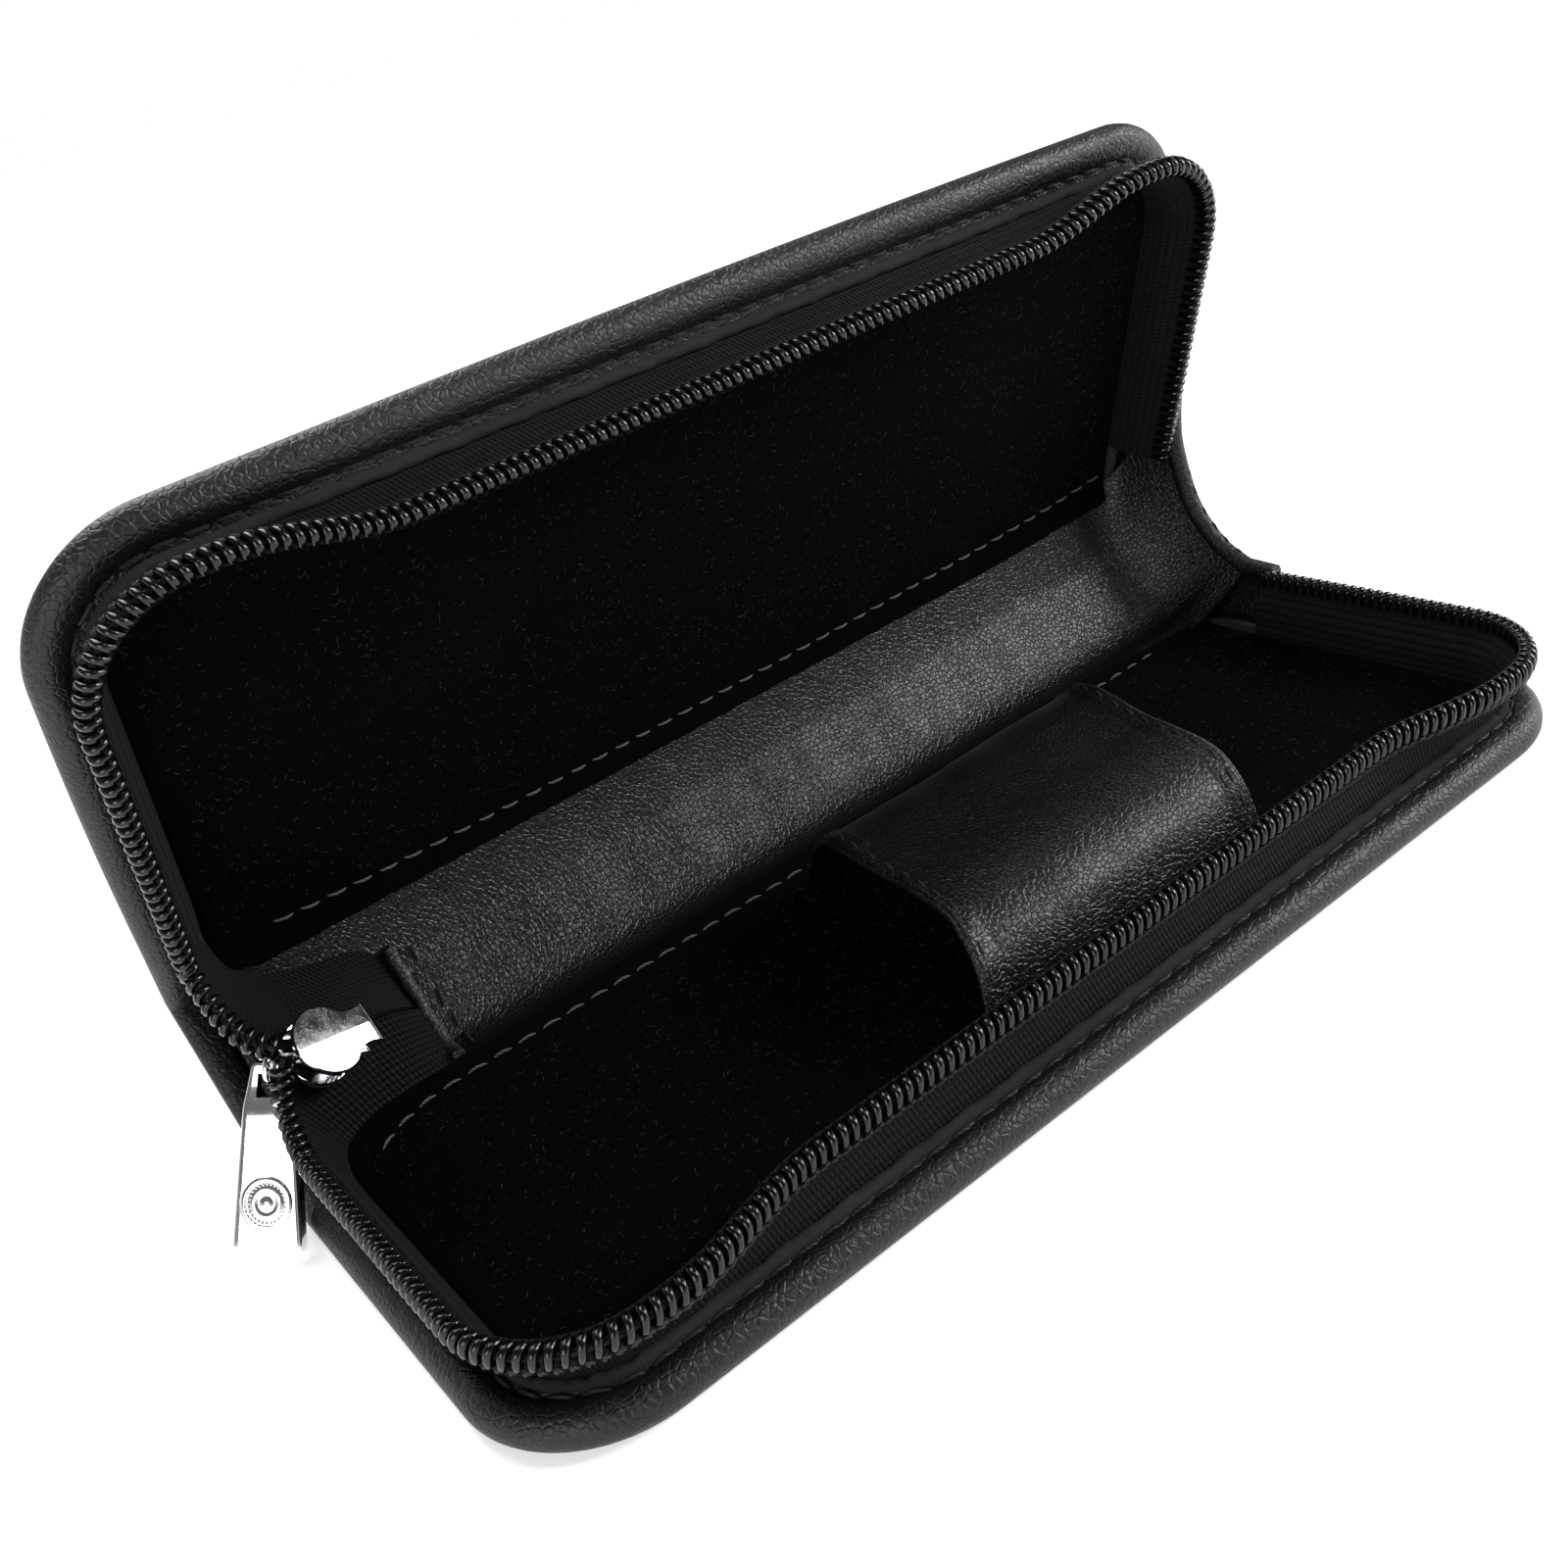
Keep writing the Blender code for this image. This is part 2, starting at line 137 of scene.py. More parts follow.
def round_steps(count):
    return np.linspace(0, 2 * math.pi, count, endpoint=False)


def squared(value, power):
    """A sine or cosine bent towards a square wave, for flattened round shapes."""
    return np.sign(value) * np.abs(value) ** power


def ramp(x, low, high):
    t = np.clip((x - low) / (high - low), 0, 1)
    return t * t * (3 - 2 * t)


# A half's plan: points (x, u) round three sides, the same number for every inset.

FRONT_STEPS, CORNER_STEPS, SIDE_STEPS = 90, 18, 16


def plan(inset, back_left=0.8, back_right=None, lean=0.0):
    back_right = back_left if back_right is None else back_right
    half, front, r = HALF_LENGTH - inset, HALF_DEPTH - inset, max(CORNER - inset, 0.3)
    left = [(-half, u) for u in np.linspace(back_left, front - r, SIDE_STEPS, endpoint=False)]
    right = [(half, u) for u in np.linspace(front - r, back_right, SIDE_STEPS + 1)[1:]]
    turn = np.linspace(0, math.pi / 2, CORNER_STEPS, endpoint=False)
    left_corner = [(r - half - r * math.cos(t), front - r + r * math.sin(t)) for t in turn]
    middle = [(x, front) for x in np.linspace(r - half, half - r, FRONT_STEPS)]
    right_corner = [(half - r + r * math.sin(t), front - r + r * math.cos(t)) for t in turn[1:]]
    right_corner.append((half, front - r))
    pts = np.array(left + left_corner + middle + right_corner + right)
    share = 1 - ramp(np.abs(pts[:, 0]), 44, 64)
    pts[:, 1] -= lean * share * (pts[:, 1] > front - 3)
    return pts


def soften_outline(body, path, inset):
    """Leather isn't cut as true as board: the lid's rim bows out a little, the base's front draws in."""
    near = float(1 - ramp(inset, 2.5, 5.5))
    front = ramp(path[:, 1], 48, 64)
    if body == "base":
        path[:, 1] -= 0.7 * near * front
    else:
        path[:, 1] += 0.9 * near * front * (1 - (path[:, 0] / HALF_LENGTH) ** 2)
        path[:, 0] -= 0.7 * near * ramp(-path[:, 0], 60, 80) * np.sin(math.pi * path[:, 1] / HALF_DEPTH)
    return path


def draw_in_right(path, amount):
    """The zip stands a little further in at the right end."""
    path[:, 0] -= amount * ramp(path[:, 0], 60, 80)
    return path


# Meshes.

def new_mesh(name, verts, faces, material, uvs=None, crease=55):
    mesh = bpy.data.meshes.new(name)
    mesh.from_pydata([tuple(np.array(v) * MM) for v in verts], [], faces)
    mesh.materials.append(material)
    mesh.shade_smooth()
    if uvs is not None:
        layer = mesh.uv_layers.new(name="cloth")
        flat = np.array([uvs[loop.vertex_index] for loop in mesh.loops], np.float32).reshape(-1)
        layer.data.foreach_set("uv", flat)
    item = bpy.data.objects.new(name, mesh)
    bpy.context.scene.collection.objects.link(item)
    face_out(mesh)
    mesh.set_sharp_from_angle(angle=math.radians(crease))
    return item


def face_out(mesh):
    build = bmesh.new()
    build.from_mesh(mesh)
    bmesh.ops.recalc_face_normals(build, faces=build.faces)
    build.to_mesh(mesh)
    build.free()


def grid_faces(rows, columns, wrap_rows=False, wrap_columns=False, first=0):
    """Quads between the neighbouring points of a grid, whose points are numbered row by row."""

    def number(i, j):
        return first + (i % rows) * columns + j % columns

    return [
        (number(i, j), number(i + 1, j), number(i + 1, j + 1), number(i, j + 1))
        for i in range(rows - (not wrap_rows))
        for j in range(columns - (not wrap_columns))
    ]


def end_caps(rows, columns, first=0):
    last = first + (rows - 1) * columns
    return [list(range(first, first + columns))[::-1], list(range(last, last + columns))]


def skin(name, rows, material, wrap_across=False, wrap_along=False, caps=False):
    """A grid of points rows x columns as a mesh, with UVs that follow it in millimetres."""
    rows = np.array(rows, float)
    n, m = rows.shape[:2]
    faces = grid_faces(n, m, wrap_along, wrap_across) + (end_caps(n, m) if caps else [])
    down = lengths(rows[:, m // 2])
    across = lengths(rows[n // 2])
    uvs = [(down[i], across[j]) for i in range(n) for j in range(m)]
    return new_mesh(name, rows.reshape(-1, 3), faces, material, uvs)


def grid_normals(rows):
    return unit(np.cross(np.gradient(rows, axis=0), np.gradient(rows, axis=1)))


def cloth(name, points, thickness, material):
    """A sheet of points rows x columns with a second skin behind it, closed all round."""
    front = np.array(points, float)
    back = front - grid_normals(front) * thickness
    return skin(name, np.concatenate([front, back[:, ::-1]], axis=1), material, wrap_across=True, caps=True)


def frames(points):
    """Tangents and a turning-free pair of side vectors along a path."""
    tangents = unit(np.gradient(np.array(points, float), axis=0))
    side = np.cross(tangents[0], (0.3, 0.2, 1.0))
    sides = []
    for t in tangents:
        side = unit(side - t * side.dot(t))
        sides.append(side)
    sides = np.array(sides)
    return tangents, sides, np.cross(tangents, sides)


def tube_rows(points, radius, steps=8):
    pts = np.array(points, float)
    _, side, up = frames(pts)
    radii = np.broadcast_to(np.array(radius, float), (len(pts),))
    angles = round_steps(steps)[None, :, None]
    ring = np.cos(angles) * side[:, None, :] + np.sin(angles) * up[:, None, :]
    return pts[:, None, :] + ring * radii[:, None, None]


def tube(name, points, radius, material, steps=8):
    return skin(name, tube_rows(points, radius, steps), material, wrap_across=True, caps=True)


def many_tubes(name, routes, radius, material, steps=6):
    """Many small tubes in one mesh. The radius is one number or one for each point of a route."""
    verts, faces = [], []
    for route in routes:
        rows = tube_rows(route, radius, steps)
        n, m = rows.shape[:2]
        first = len(verts)
        verts.extend(rows.reshape(-1, 3))
        faces += grid_faces(n, m, wrap_columns=True, first=first) + end_caps(n, m, first)
    return new_mesh(name, verts, faces, material)


def lathe(name, profile, steps, material):
    """A turned shape about local Z from (radius, height) pairs."""
    rows = [[(r * math.cos(a), r * math.sin(a), h) for r, h in profile] for a in round_steps(steps)]
    return skin(name, rows, material, wrap_along=True)


STITCH_STEPS = 7


def stitches(name, path, normals, material, pitch=3.4, length=2.5, radius=0.24, bury=0.28):
    """A row of stitches along a path: short arcs of thread whose ends dive into the leather."""
    along = lengths(path)
    normals = np.broadcast_to(np.array(normals, float), np.shape(path))
    arch = np.sin(np.linspace(0, math.pi, STITCH_STEPS)) ** 0.6
    rise = (arch * (bury + 0.12) - bury)[:, None]
    routes = []
    at = pitch / 2
    while at + length < along[-1]:
        inside = np.linspace(at, at + length, STITCH_STEPS)
        middle, out = sample(path, along, inside), sample(normals, along, inside)
        side = unit(np.cross(middle[-1] - middle[0], out[3]))
        slant = np.linspace(-1, 1, STITCH_STEPS)[:, None] * side * rng.uniform(0.5, 1.5) * 0.08
        routes.append(middle + out * rise + slant)
        at += pitch
    taper = radius * (0.55 + 0.45 * np.sin(np.linspace(0.15, math.pi - 0.15, STITCH_STEPS)))
    return many_tubes(name, routes, taper, material)


PITCH = 1.4  # of the zip's teeth
WIRE = 0.43  # the radius of the coil's wire
TURN_STEPS = 14


def spiral(name, path, out, up, wide=0.86, tall=1.02):
    """A zip's nylon coil along a path: a wound wire, flattened, with swollen heads on its outer side."""
    along = lengths(path)
    turns = max(int(along[-1] / PITCH), 1)
    steps = turns * TURN_STEPS + 1
    where = np.linspace(0, along[-1], steps)
    turn = np.linspace(0, 2 * math.pi * turns, steps)
    middle, out, up = (sample(data, along, where) for data in (path, out, up))
    sideways, upward = squared(np.cos(turn), 0.8) * wide, squared(np.sin(turn), 0.8) * tall
    route = middle + out * sideways[:, None] + up * upward[:, None]
    head = WIRE * (1 + 0.30 * np.clip(np.sin(turn), 0, 1) ** 2)
    return tube(name, route, head, COIL, 7)


# Materials.

def toned(colour, factor=1.0):
    return (*(c * factor for c in colour), 1)


class Nodes:
    def __init__(self, name):
        self.material = bpy.data.materials.new(name)
        self.material.use_nodes = True
        self.tree = self.material.node_tree
        self.shader = self.tree.nodes["Principled BSDF"]

    def add(self, kind, inputs=None, **settings):
        node = self.tree.nodes.new(kind)
        for key, value in settings.items():
            setattr(node, key, value)
        for key, value in (inputs or {}).items():
            self.put(node.inputs[key], value)
        return node

    def put(self, socket, value):
        if hasattr(value, "links"):
            self.tree.links.new(value, socket)
        else:
            socket.default_value = value

    def math(self, operation, a, b=0.0, clamp=False):
        return self.add("ShaderNodeMath", {0: a, 1: b}, operation=operation, use_clamp=clamp).outputs[0]

    def mix(self, share, a, b):
        node = self.add("ShaderNodeMix", data_type="RGBA")
        for socket, value in ((node.inputs[0], share), (node.inputs[6], a), (node.inputs[7], b)):
            self.put(socket, value)
        return node.outputs[2]

    def place(self, output="Object"):
        return self.add("ShaderNodeTexCoord").outputs[output]

    def noise(self, scale, detail=4.0, rough=0.55, vector=None, output="Fac"):
        inputs = {"Vector": vector or self.place(), "Scale": scale, "Detail": detail, "Roughness": rough}
        return self.add("ShaderNodeTexNoise", inputs).outputs[output]

    def cells(self, scale, vector=None, feature="F1", output="Distance", randomness=1.0):
        inputs = {"Vector": vector or self.place(), "Scale": scale, "Randomness": randomness}
        return self.add("ShaderNodeTexVoronoi", inputs, feature=feature).outputs[output]

    def span(self, value, low, high, to_low=0.0, to_high=1.0):
        inputs = {"Value": value, "From Min": low, "From Max": high, "To Min": to_low, "To Max": to_high}
        return self.add("ShaderNodeMapRange", inputs).outputs[0]

    def bump(self, height, strength, distance, normal=None):
        inputs = {"Height": height, "Strength": strength, "Distance": distance}
        if normal is not None:
            inputs["Normal"] = normal
        return self.add("ShaderNodeBump", inputs).outputs[0]

    def set(self, **values):
        for key, value in values.items():
            self.put(self.shader.inputs[key.replace("_", " ")], value)
        return self.material


def leather(name, colour, low_rough, high_rough, grain=0.00055, depth=0.00015, specular=0.5):
    """Black leather: rounded pebbles between fine creases with painted shade in them, soft folds and uneven
    polish.
    """
    n = Nodes(name)
    warp = n.noise(220, 3, output="Color")
    moved = n.add("ShaderNodeMixRGB", {0: 0.0012, 1: n.place(), 2: warp}, blend_type="ADD").outputs[0]
    pebbles = n.cells(1 / grain, moved, "SMOOTH_F1")
    creases = n.span(n.cells(1 / (grain * 1.7), moved, "DISTANCE_TO_EDGE"), 0.0, 0.16)
    fine = n.noise(5200, 3)
    soft = n.noise(38, 3)
    height = n.math("ADD", n.math("MULTIPLY", pebbles, -0.75), n.math("MULTIPLY", creases, 0.55))
    height = n.math("ADD", height, n.math("MULTIPLY", fine, 0.30))
    polish = n.math("ADD", n.math("MULTIPLY", soft, 0.7), n.math("MULTIPLY", fine, 0.3))
    rough = n.span(polish, 0.3, 0.7, low_rough, high_rough)
    # Colour: painted shade darkens the creases between the pebbles; the soft noise adds random tone on top.
    shade = n.span(creases, 0, 1, 0.55, 1.0)
    dark = toned(colour, 0.55)
    tint = n.mix(n.math("MULTIPLY", shade, n.span(soft, 0.3, 0.7, 0.7, 1.0)), dark, toned(colour))
    normal = n.bump(n.noise(120, 2), 0.25, 0.0004)
    normal = n.bump(height, 0.75, depth, normal)
    n.set(Base_Color=tint, Roughness=rough, Normal=normal)
    return n.set(Specular_IOR_Level=specular, Coat_Weight=0.03, Coat_Roughness=0.35)


def velour(name, colour):
    """Short pile: a matt ground with lighter brushed patches, and painted glints where single fibres catch
    the light.
    """
    n = Nodes(name)
    patches = n.noise(70, 4)
    pile = n.noise(3800, 4, 0.7)
    fibres = n.cells(2600, n.place())
    # spark is a mask of painted glints: single fibres painted bright as if they caught the light.
    spark = n.span(n.noise(2300, 2, 0.8), 0.66, 0.78, 0, 1)
    shade = n.math("MULTIPLY", n.span(patches, 0.3, 0.7, 0.45, 1.15), n.span(pile, 0.3, 0.7, 0.4, 1.3))
    light = toned(colour, 3.2)
    tint = n.mix(n.math("MULTIPLY", shade, 0.35), toned(colour), light)
    # Painted glints mixed into the colour.
    tint = n.mix(n.math("MULTIPLY", spark, 0.5), tint, toned(colour, 6))
    height = n.math("ADD", n.math("MULTIPLY", pile, 0.8), n.math("MULTIPLY", fibres, 0.5))
    n.set(Base_Color=tint, Roughness=n.span(pile, 0.3, 0.7, 0.85, 1.0), Normal=n.bump(height, 0.6, 0.00012))
    return n.set(Specular_IOR_Level=0.018, Sheen_Weight=0.004, Sheen_Roughness=0.5)


def woven(name, colour, period=0.62, row=1.05):
    """Knitted zip tape: short slanted loops in rows, laid out by the piece's UVs in millimetres, with painted
    shade between the loops and painted light on their tops.
    """
    n = Nodes(name)
    parts = n.add("ShaderNodeSeparateXYZ", {0: n.place("UV")})
    u, v = parts.outputs[0], parts.outputs[1]
    rows = n.math("DIVIDE", v, row)
    odd = n.math("MULTIPLY", n.math("FLOOR", rows), 0.5)
    loops = n.math("ADD", n.math("DIVIDE", u, period), odd)
    slant = n.math("MULTIPLY", n.math("FRACT", rows), 0.35)
    swell = n.math("ABSOLUTE", n.math("SINE", n.math("MULTIPLY", n.math("ADD", loops, slant), math.pi)))
    band = n.math("ABSOLUTE", n.math("SINE", n.math("MULTIPLY", rows, math.pi)))
    height = n.math("MULTIPLY", n.math("POWER", swell, 0.7), n.math("POWER", band, 0.6))
    fuzz = n.noise(4200, 3, 0.7)
    height = n.math("ADD", height, n.math("MULTIPLY", fuzz, 0.35))
    # Colour follows the loops' height: painted shade in the gaps between loops and rows, painted light on the
    # loops' raised tops; the fuzz noise adds random tone.
    light = toned(colour, 2.4)
    dark = toned(colour, 0.35)
    tint = n.mix(n.span(height, 0.15, 1.1), dark, light)
    n.set(Base_Color=tint, Roughness=n.span(fuzz, 0.3, 0.7, 0.62, 0.85), Normal=n.bump(height, 0.9, 0.00030))
    return n.set(Specular_IOR_Level=0.10, Sheen_Weight=0.012, Sheen_Roughness=0.4)


def nylon(name, colour):
    n = Nodes(name)
    smudge = n.noise(600, 3)
    tint = n.mix(n.span(n.noise(2500, 2), 0.35, 0.65), toned(colour), toned(colour, 1.8))
    rough = n.span(smudge, 0.3, 0.7, 0.10, 0.22)
    n.set(Base_Color=tint, Roughness=rough, Normal=n.bump(n.noise(3000, 2), 0.1, 0.00005))
    return n.set(Specular_IOR_Level=0.34)


def thread(name, colour):
    """Twisted thread: fine slanted plies with painted shade in the grooves between them."""
    n = Nodes(name)
    inputs = {"Vector": n.place(), "Scale": 900.0, "Distortion": 2.0, "Detail": 1.0}
    plies = n.add("ShaderNodeTexWave", inputs, bands_direction="DIAGONAL").outputs["Fac"]
    # Painted shade: the colour is halved in the grooves between the plies.
    tint = n.mix(plies, toned(colour, 0.5), toned(colour))
    n.set(Base_Color=tint, Roughness=n.span(plies, 0, 1, 0.5, 0.75), Normal=n.bump(plies, 0.6, 0.00008))
    return n.set(Specular_IOR_Level=0.2)


def chrome(name, colour, low=0.05, high=0.16):
    """Plated metal: bright, with faint polishing lines and cloudy fingerprints."""
    n = Nodes(name)
    stretched = n.add("ShaderNodeMapping", {"Vector": n.place(), "Scale": (300.0, 4200.0, 4200.0)}).outputs[0]
    lines = n.noise(1.0, 3, vector=stretched)
    cloud = n.noise(240, 3)
    polish = n.math("ADD", n.math("MULTIPLY", lines, 0.4), n.math("MULTIPLY", cloud, 0.6))
    rough = n.span(polish, 0.35, 0.65, low, high)
    tint = n.mix(cloud, toned(colour, 0.93), toned(colour))
    n.set(Base_Color=tint, Roughness=rough, Normal=n.bump(lines, 0.015, 0.00004))
    return n.set(Metallic=1.0)


def board(name, colour):
    n = Nodes(name)
    fibres = n.noise(900, 5, 0.7)
    tint = n.mix(fibres, toned(colour, 0.7), toned(colour))
    rough = n.span(fibres, 0.3, 0.7, 0.8, 0.95)
    return n.set(Base_Color=tint, Roughness=rough, Normal=n.bump(fibres, 0.5, 0.0002))


BLACK = (0.0032, 0.0032, 0.0035)
OUTER = leather("outer_leather_look", BLACK, 0.40, 0.54, specular=0.30)
INNER = leather("inner_leather_look", BLACK, 0.28, 0.41, grain=0.00040, depth=0.00012, specular=0.27)
PILE = velour("velour_look", (0.0006, 0.0006, 0.0007))
TAPE = woven("zip_tape_look", (0.0022, 0.0022, 0.0024))
COIL = nylon("zip_coil_look", (0.0012, 0.0012, 0.0014))
THREAD_DARK = thread("dark_thread_look", (0.010, 0.010, 0.011))
THREAD_GREY = thread("grey_thread_look", (0.075, 0.075, 0.078))
THREAD_ZIP = thread("zip_thread_look", (0.026, 0.026, 0.028))
FIBRE = thread("fibre_look", (0.030, 0.030, 0.032))
METAL = chrome("plated_metal_look", (0.86, 0.86, 0.88))
RAW_EDGE = velour("raw_leather_edge_look", (0.012, 0.012, 0.013))
HEM_LOOK = leather("hem_leather_look", (0.010, 0.010, 0.011), 0.40, 0.52, grain=0.00036, specular=0.4)
BOARD = board("board_look", (0.20, 0.19, 0.17))
FILLER = board("filler_look", (0.55, 0.53, 0.50))


def settle(item, body, slot, *nodes):
    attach(item, body)
    if nodes:
        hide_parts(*nodes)
    return item


def bend(item, bodies, start, end, slot, *nodes):
    """Bakes the piece's transform into its mesh and hides the given parts; the piece is not made to bend
    across a hinge. start and end are distances s across the spine; end is not used.
    """
    tuple(spine_at(-CENTRE_X, start, 0) * MM)
    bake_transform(item)
    if nodes:
        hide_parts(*nodes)
    return item


BASE_TO_SPINE, SPINE_TO_LID = ("base", "spine"), ("spine", "lid")
# Pairs of distances s for the leather, the linings and the forks, at the lower and the upper crease; nothing
# is bent between them.
CREASE_BENDS = ((-2.6, 4.2), (20.0, 26.6))
LINING_BENDS = ((0.8, 6.5), (13.5, 22.0))
FORK_BENDS = ((-3.0, 6.5), (12.0, 21.5))


# A half.

RIM = 2.3
COIL_INSET, COIL_HEIGHT, FRONT_LEAN = 2.0, 11.9, 4.0


def back_taper(u):
    """The rolled edge flattens as it nears the hinge."""
    return 0.74 + 0.26 * ramp(u, 1.0, 12.0)


def pleat(points, amount):
    """Small gathers of leather round the corners, as a height for each plan point."""
    x, u = points[:, 0], points[:, 1]
    across = (np.abs(x) - (HALF_LENGTH - CORNER)), (u - (HALF_DEPTH - CORNER))
    angle = np.degrees(np.arctan2(across[1], across[0]))
    near = ((across[0] > -2) & (across[1] > -2)) * ramp(angle, -8, 8) * (1 - ramp(angle, 82, 98))
    return amount * near * (np.sin(angle * math.pi / 4.6 + np.sign(x)) - 0.3)


def closed_from_rings(name, rings, material):
    """A body from open rings of points, with its first and last rings and its two ends closed."""
    n = len(rings[0])
    verts = [p for ring in rings for p in ring]
    faces = [
        (j * n + i, j * n + i + 1, (j + 1) * n + i + 1, (j + 1) * n + i)
        for j in range(len(rings) - 1)
        for i in range(n - 1)
    ]
    last = (len(rings) - 1) * n
    faces.append(list(range(n)))
    faces.append(list(range(last, last + n))[::-1])
    faces.append([j * n for j in range(len(rings))] + [j * n + n - 1 for j in reversed(range(len(rings)))])
    return new_mesh(name, verts, faces, material)


# The leather's edge behind its rolled rim: (inset, w, share of the gathers), in to the panel's inner face.
SHELL_EDGE = (
    (2.9, 4.55, 0.45), (3.35, 4.42, 0.6), (3.75, 4.10, 0.5), (4.05, 4.02, 0.4), (4.35, 4.12, 0.5),
    (4.7, 4.36, 0.6), (4.95, 4.34, 0.5), (5.1, 4.1, 0.3), (5.15, 3.3, 0), (6.4, 3.2, 0), (15.2, 3.2, 0),
)


def shell(name, body, at, bulge):
    """The leather-covered panel of a half with its rolled edge, as one closed body."""
    profile = [(inset, -bulge * ramp(inset, 2.5, 15), 0) for inset in (15.2, 9.5, 5.0, 3.4)]
    for t in np.radians(np.linspace(-90, 90, 15)):
        w = RIM + RIM * math.sin(t)
        profile.append((RIM - RIM * math.cos(t), w, 0.15 * (w > 1.5)))
    rings = []
    for inset, w, gather in profile + list(SHELL_EDGE):
        path = soften_outline(body, plan(inset), inset)
        high = w * (1 if w <= 3.2 and inset > 5.1 else back_taper(path[:, 1]))
        tops = np.where(w > 0, high, w) + pleat(path, 0.30 * gather)
        rings.append([at(x, u, h) for (x, u), h in zip(path, tops)])
    return closed_from_rings(name, rings, OUTER)


def rim_path(body, at, inset, w, back=1.5):
    path = soften_outline(body, plan(inset, back, back), inset)
    return np.array([at(x, u, w * back_taper(np.array(u))) if w < 6 else at(x, u, w) for x, u in path])


# The velour's edge over the trough's leather: (u, w) across it, from its flat part to under its edge.
VELOUR_EDGE = {
    "base": (
        (12.0, 4.45), (9.5, 4.55), (7.6, 4.7), (6.0, 4.95), (4.9, 5.2), (4.1, 5.25), (3.5, 4.95), (3.4, 4.4),
    ),
    "lid": (
        (12.0, 4.45), (9.5, 4.6), (7.8, 4.85), (6.4, 5.3), (5.3, 5.85), (4.5, 6.0), (3.9, 5.75), (3.9, 5.2),
    ),
}
# The stitches along that edge, as (x, u, w).
SEAM_ROW = {
    "base": (
        (-72.7, 12.1, 4.6), (-69.5, 9.4, 4.6), (-65.5, 7.9, 4.72), (-60, 7.2, 4.78), (-40, 7.3, 4.78),
        (66, 7.3, 4.78),
    ),
    "lid": (
        (-70.0, 8.6, 4.78), (-62, 8.0, 4.88), (-38, 7.3, 4.98), (10, 7.4, 4.98), (40, 8.0, 4.88),
        (60, 8.8, 4.78), (72, 9.8, 4.66), (77, 10.6, 4.62),
    ),
}


def facing(body, rows):
    """The lid's places are a mirror image of the base's, so its sheets run the other way round."""
    return np.array(rows)[::-1] if body == "lid" else np.array(rows)


def velour_panel(name, body, at):
    back = VELOUR_EDGE[body][0][0] - 1.0
    rings = []
    for inset, w in ((6.3, 3.25), (6.2, 3.9), (6.5, 4.3), (7.2, 4.45), (9, 4.5), (15.2, 4.5)):
        rings.append([at(x, u, w) for x, u in plan(inset, back)])
    return closed_from_rings(name, rings, PILE)


def velour_edge(name, body, at):
    """The velour's back part, which rolls over the trough's leather with a soft, slightly uneven edge."""
    line = smooth(VELOUR_EDGE[body], 22)
    share = np.linspace(0, 1, len(line))
    right_rise = 3.2 if body == "base" else 1.0
    rows = []
    for x in np.linspace(-75.6, 75.6, 230):
        drift = 0.12 * math.sin(x * 0.9) + 0.10 * math.sin(x * 2.3 + 1) + 0.07 * math.sin(x * 5.1)
        corner = 1.6 * ramp(-x, 70, 75.6) + right_rise * ramp(x, 46, 76)
        row = [at(x, u + drift * k + corner * k, w + 0.3 * drift * k) for (u, w), k in zip(line, share)]
        rows.append(row)
    return cloth(name, facing(body, rows), 0.8, PILE)


def fibres(name, at, count=2600):
    """Single short hairs that stand out of the pile."""
    routes = []
    for _ in range(count):
        x, u = rng.uniform(-74, 74), rng.uniform(9, 58)
        turn, long = rng.uniform(0, 2 * math.pi), rng.uniform(0.25, 0.8)
        dx, du = long * math.cos(turn), long * math.sin(turn)
        rise = rng.uniform(0.05, 0.25)
        ends = ((x, u, 4.45), (x + dx * 0.5, u + du * 0.5, 4.5 + rise), (x + dx, u + du, 4.48 + rise * 0.6))
        routes.append(np.array([at(*p) for p in ends]))
    return many_tubes(name, routes, 0.026, FIBRE, 3)


# Across the tape of a half: (inset, w, share of its lean at the front).
TAPE_PROFILE = (
    (6.0, 3.4, 0.0), (5.75, 4.2, 0.04), (5.5, 5.2, 0.10), (5.25, 6.3, 0.2), (4.95, 7.4, 0.34),
    (4.4, 8.4, 0.5), (3.7, 9.3, 0.68), (2.95, 10.1, 0.85), (2.3, 10.8, 0.96), (2.0, 11.35, 1.0),
)


def tape_wall(name, body, at, ends):
    rows = []
    for inset, w, lean in TAPE_PROFILE:
        path = draw_in_right(plan(inset, *ends, FRONT_LEAN * lean), 0.9 * lean)
        rows.append([at(x, u, w) for x, u in path])
    return cloth(name, facing(body, np.array(rows).transpose(1, 0, 2)), 0.6, TAPE)


def coil_frame(at, ends):
    """The coil's path round a half with its outward and upward directions."""
    flat = draw_in_right(plan(COIL_INSET, *ends, FRONT_LEAN), 0.9)
    path = np.array([at(x, u, COIL_HEIGHT) for x, u in flat])
    above = np.array([at(x, u, COIL_HEIGHT + 1) for x, u in flat])
    tangents, _, _ = frames(path)
    up = above - path
    return path, unit(np.cross(up, tangents)), up


def knit_row(name, path, out, up):
    """The chain stitch that binds coil to tape: small peaks on the outer side, one for each tooth."""
    along = lengths(path)
    routes = []
    at = 0.6
    while at + PITCH < along[-1]:
        centre, above, outside = (sample(data, along, at) for data in (path, up, out))
        top = centre + above * -0.85 + outside * 0.78
        for step, drop in ((-0.5, -2.35), (0.42, -2.0)):
            near, near_up, near_out = (sample(data, along, at + step) for data in (path, up, out))
            foot = near + near_up * drop - near_out * 0.35
            routes.append(np.array([top, (top + foot) / 2 + outside * 0.22, foot]))
        at += PITCH
    return many_tubes(name, routes, (0.22, 0.28, 0.18), THREAD_ZIP)


# Over the leather's cut edge inside the rim, as (inset, w).
CUT_EDGE = (
    (4.60, 3.6), (4.55, 4.5), (4.75, 5.0), (5.15, 5.25), (5.6, 5.2), (5.95, 4.9), (6.1, 4.3), (6.1, 3.4),
)


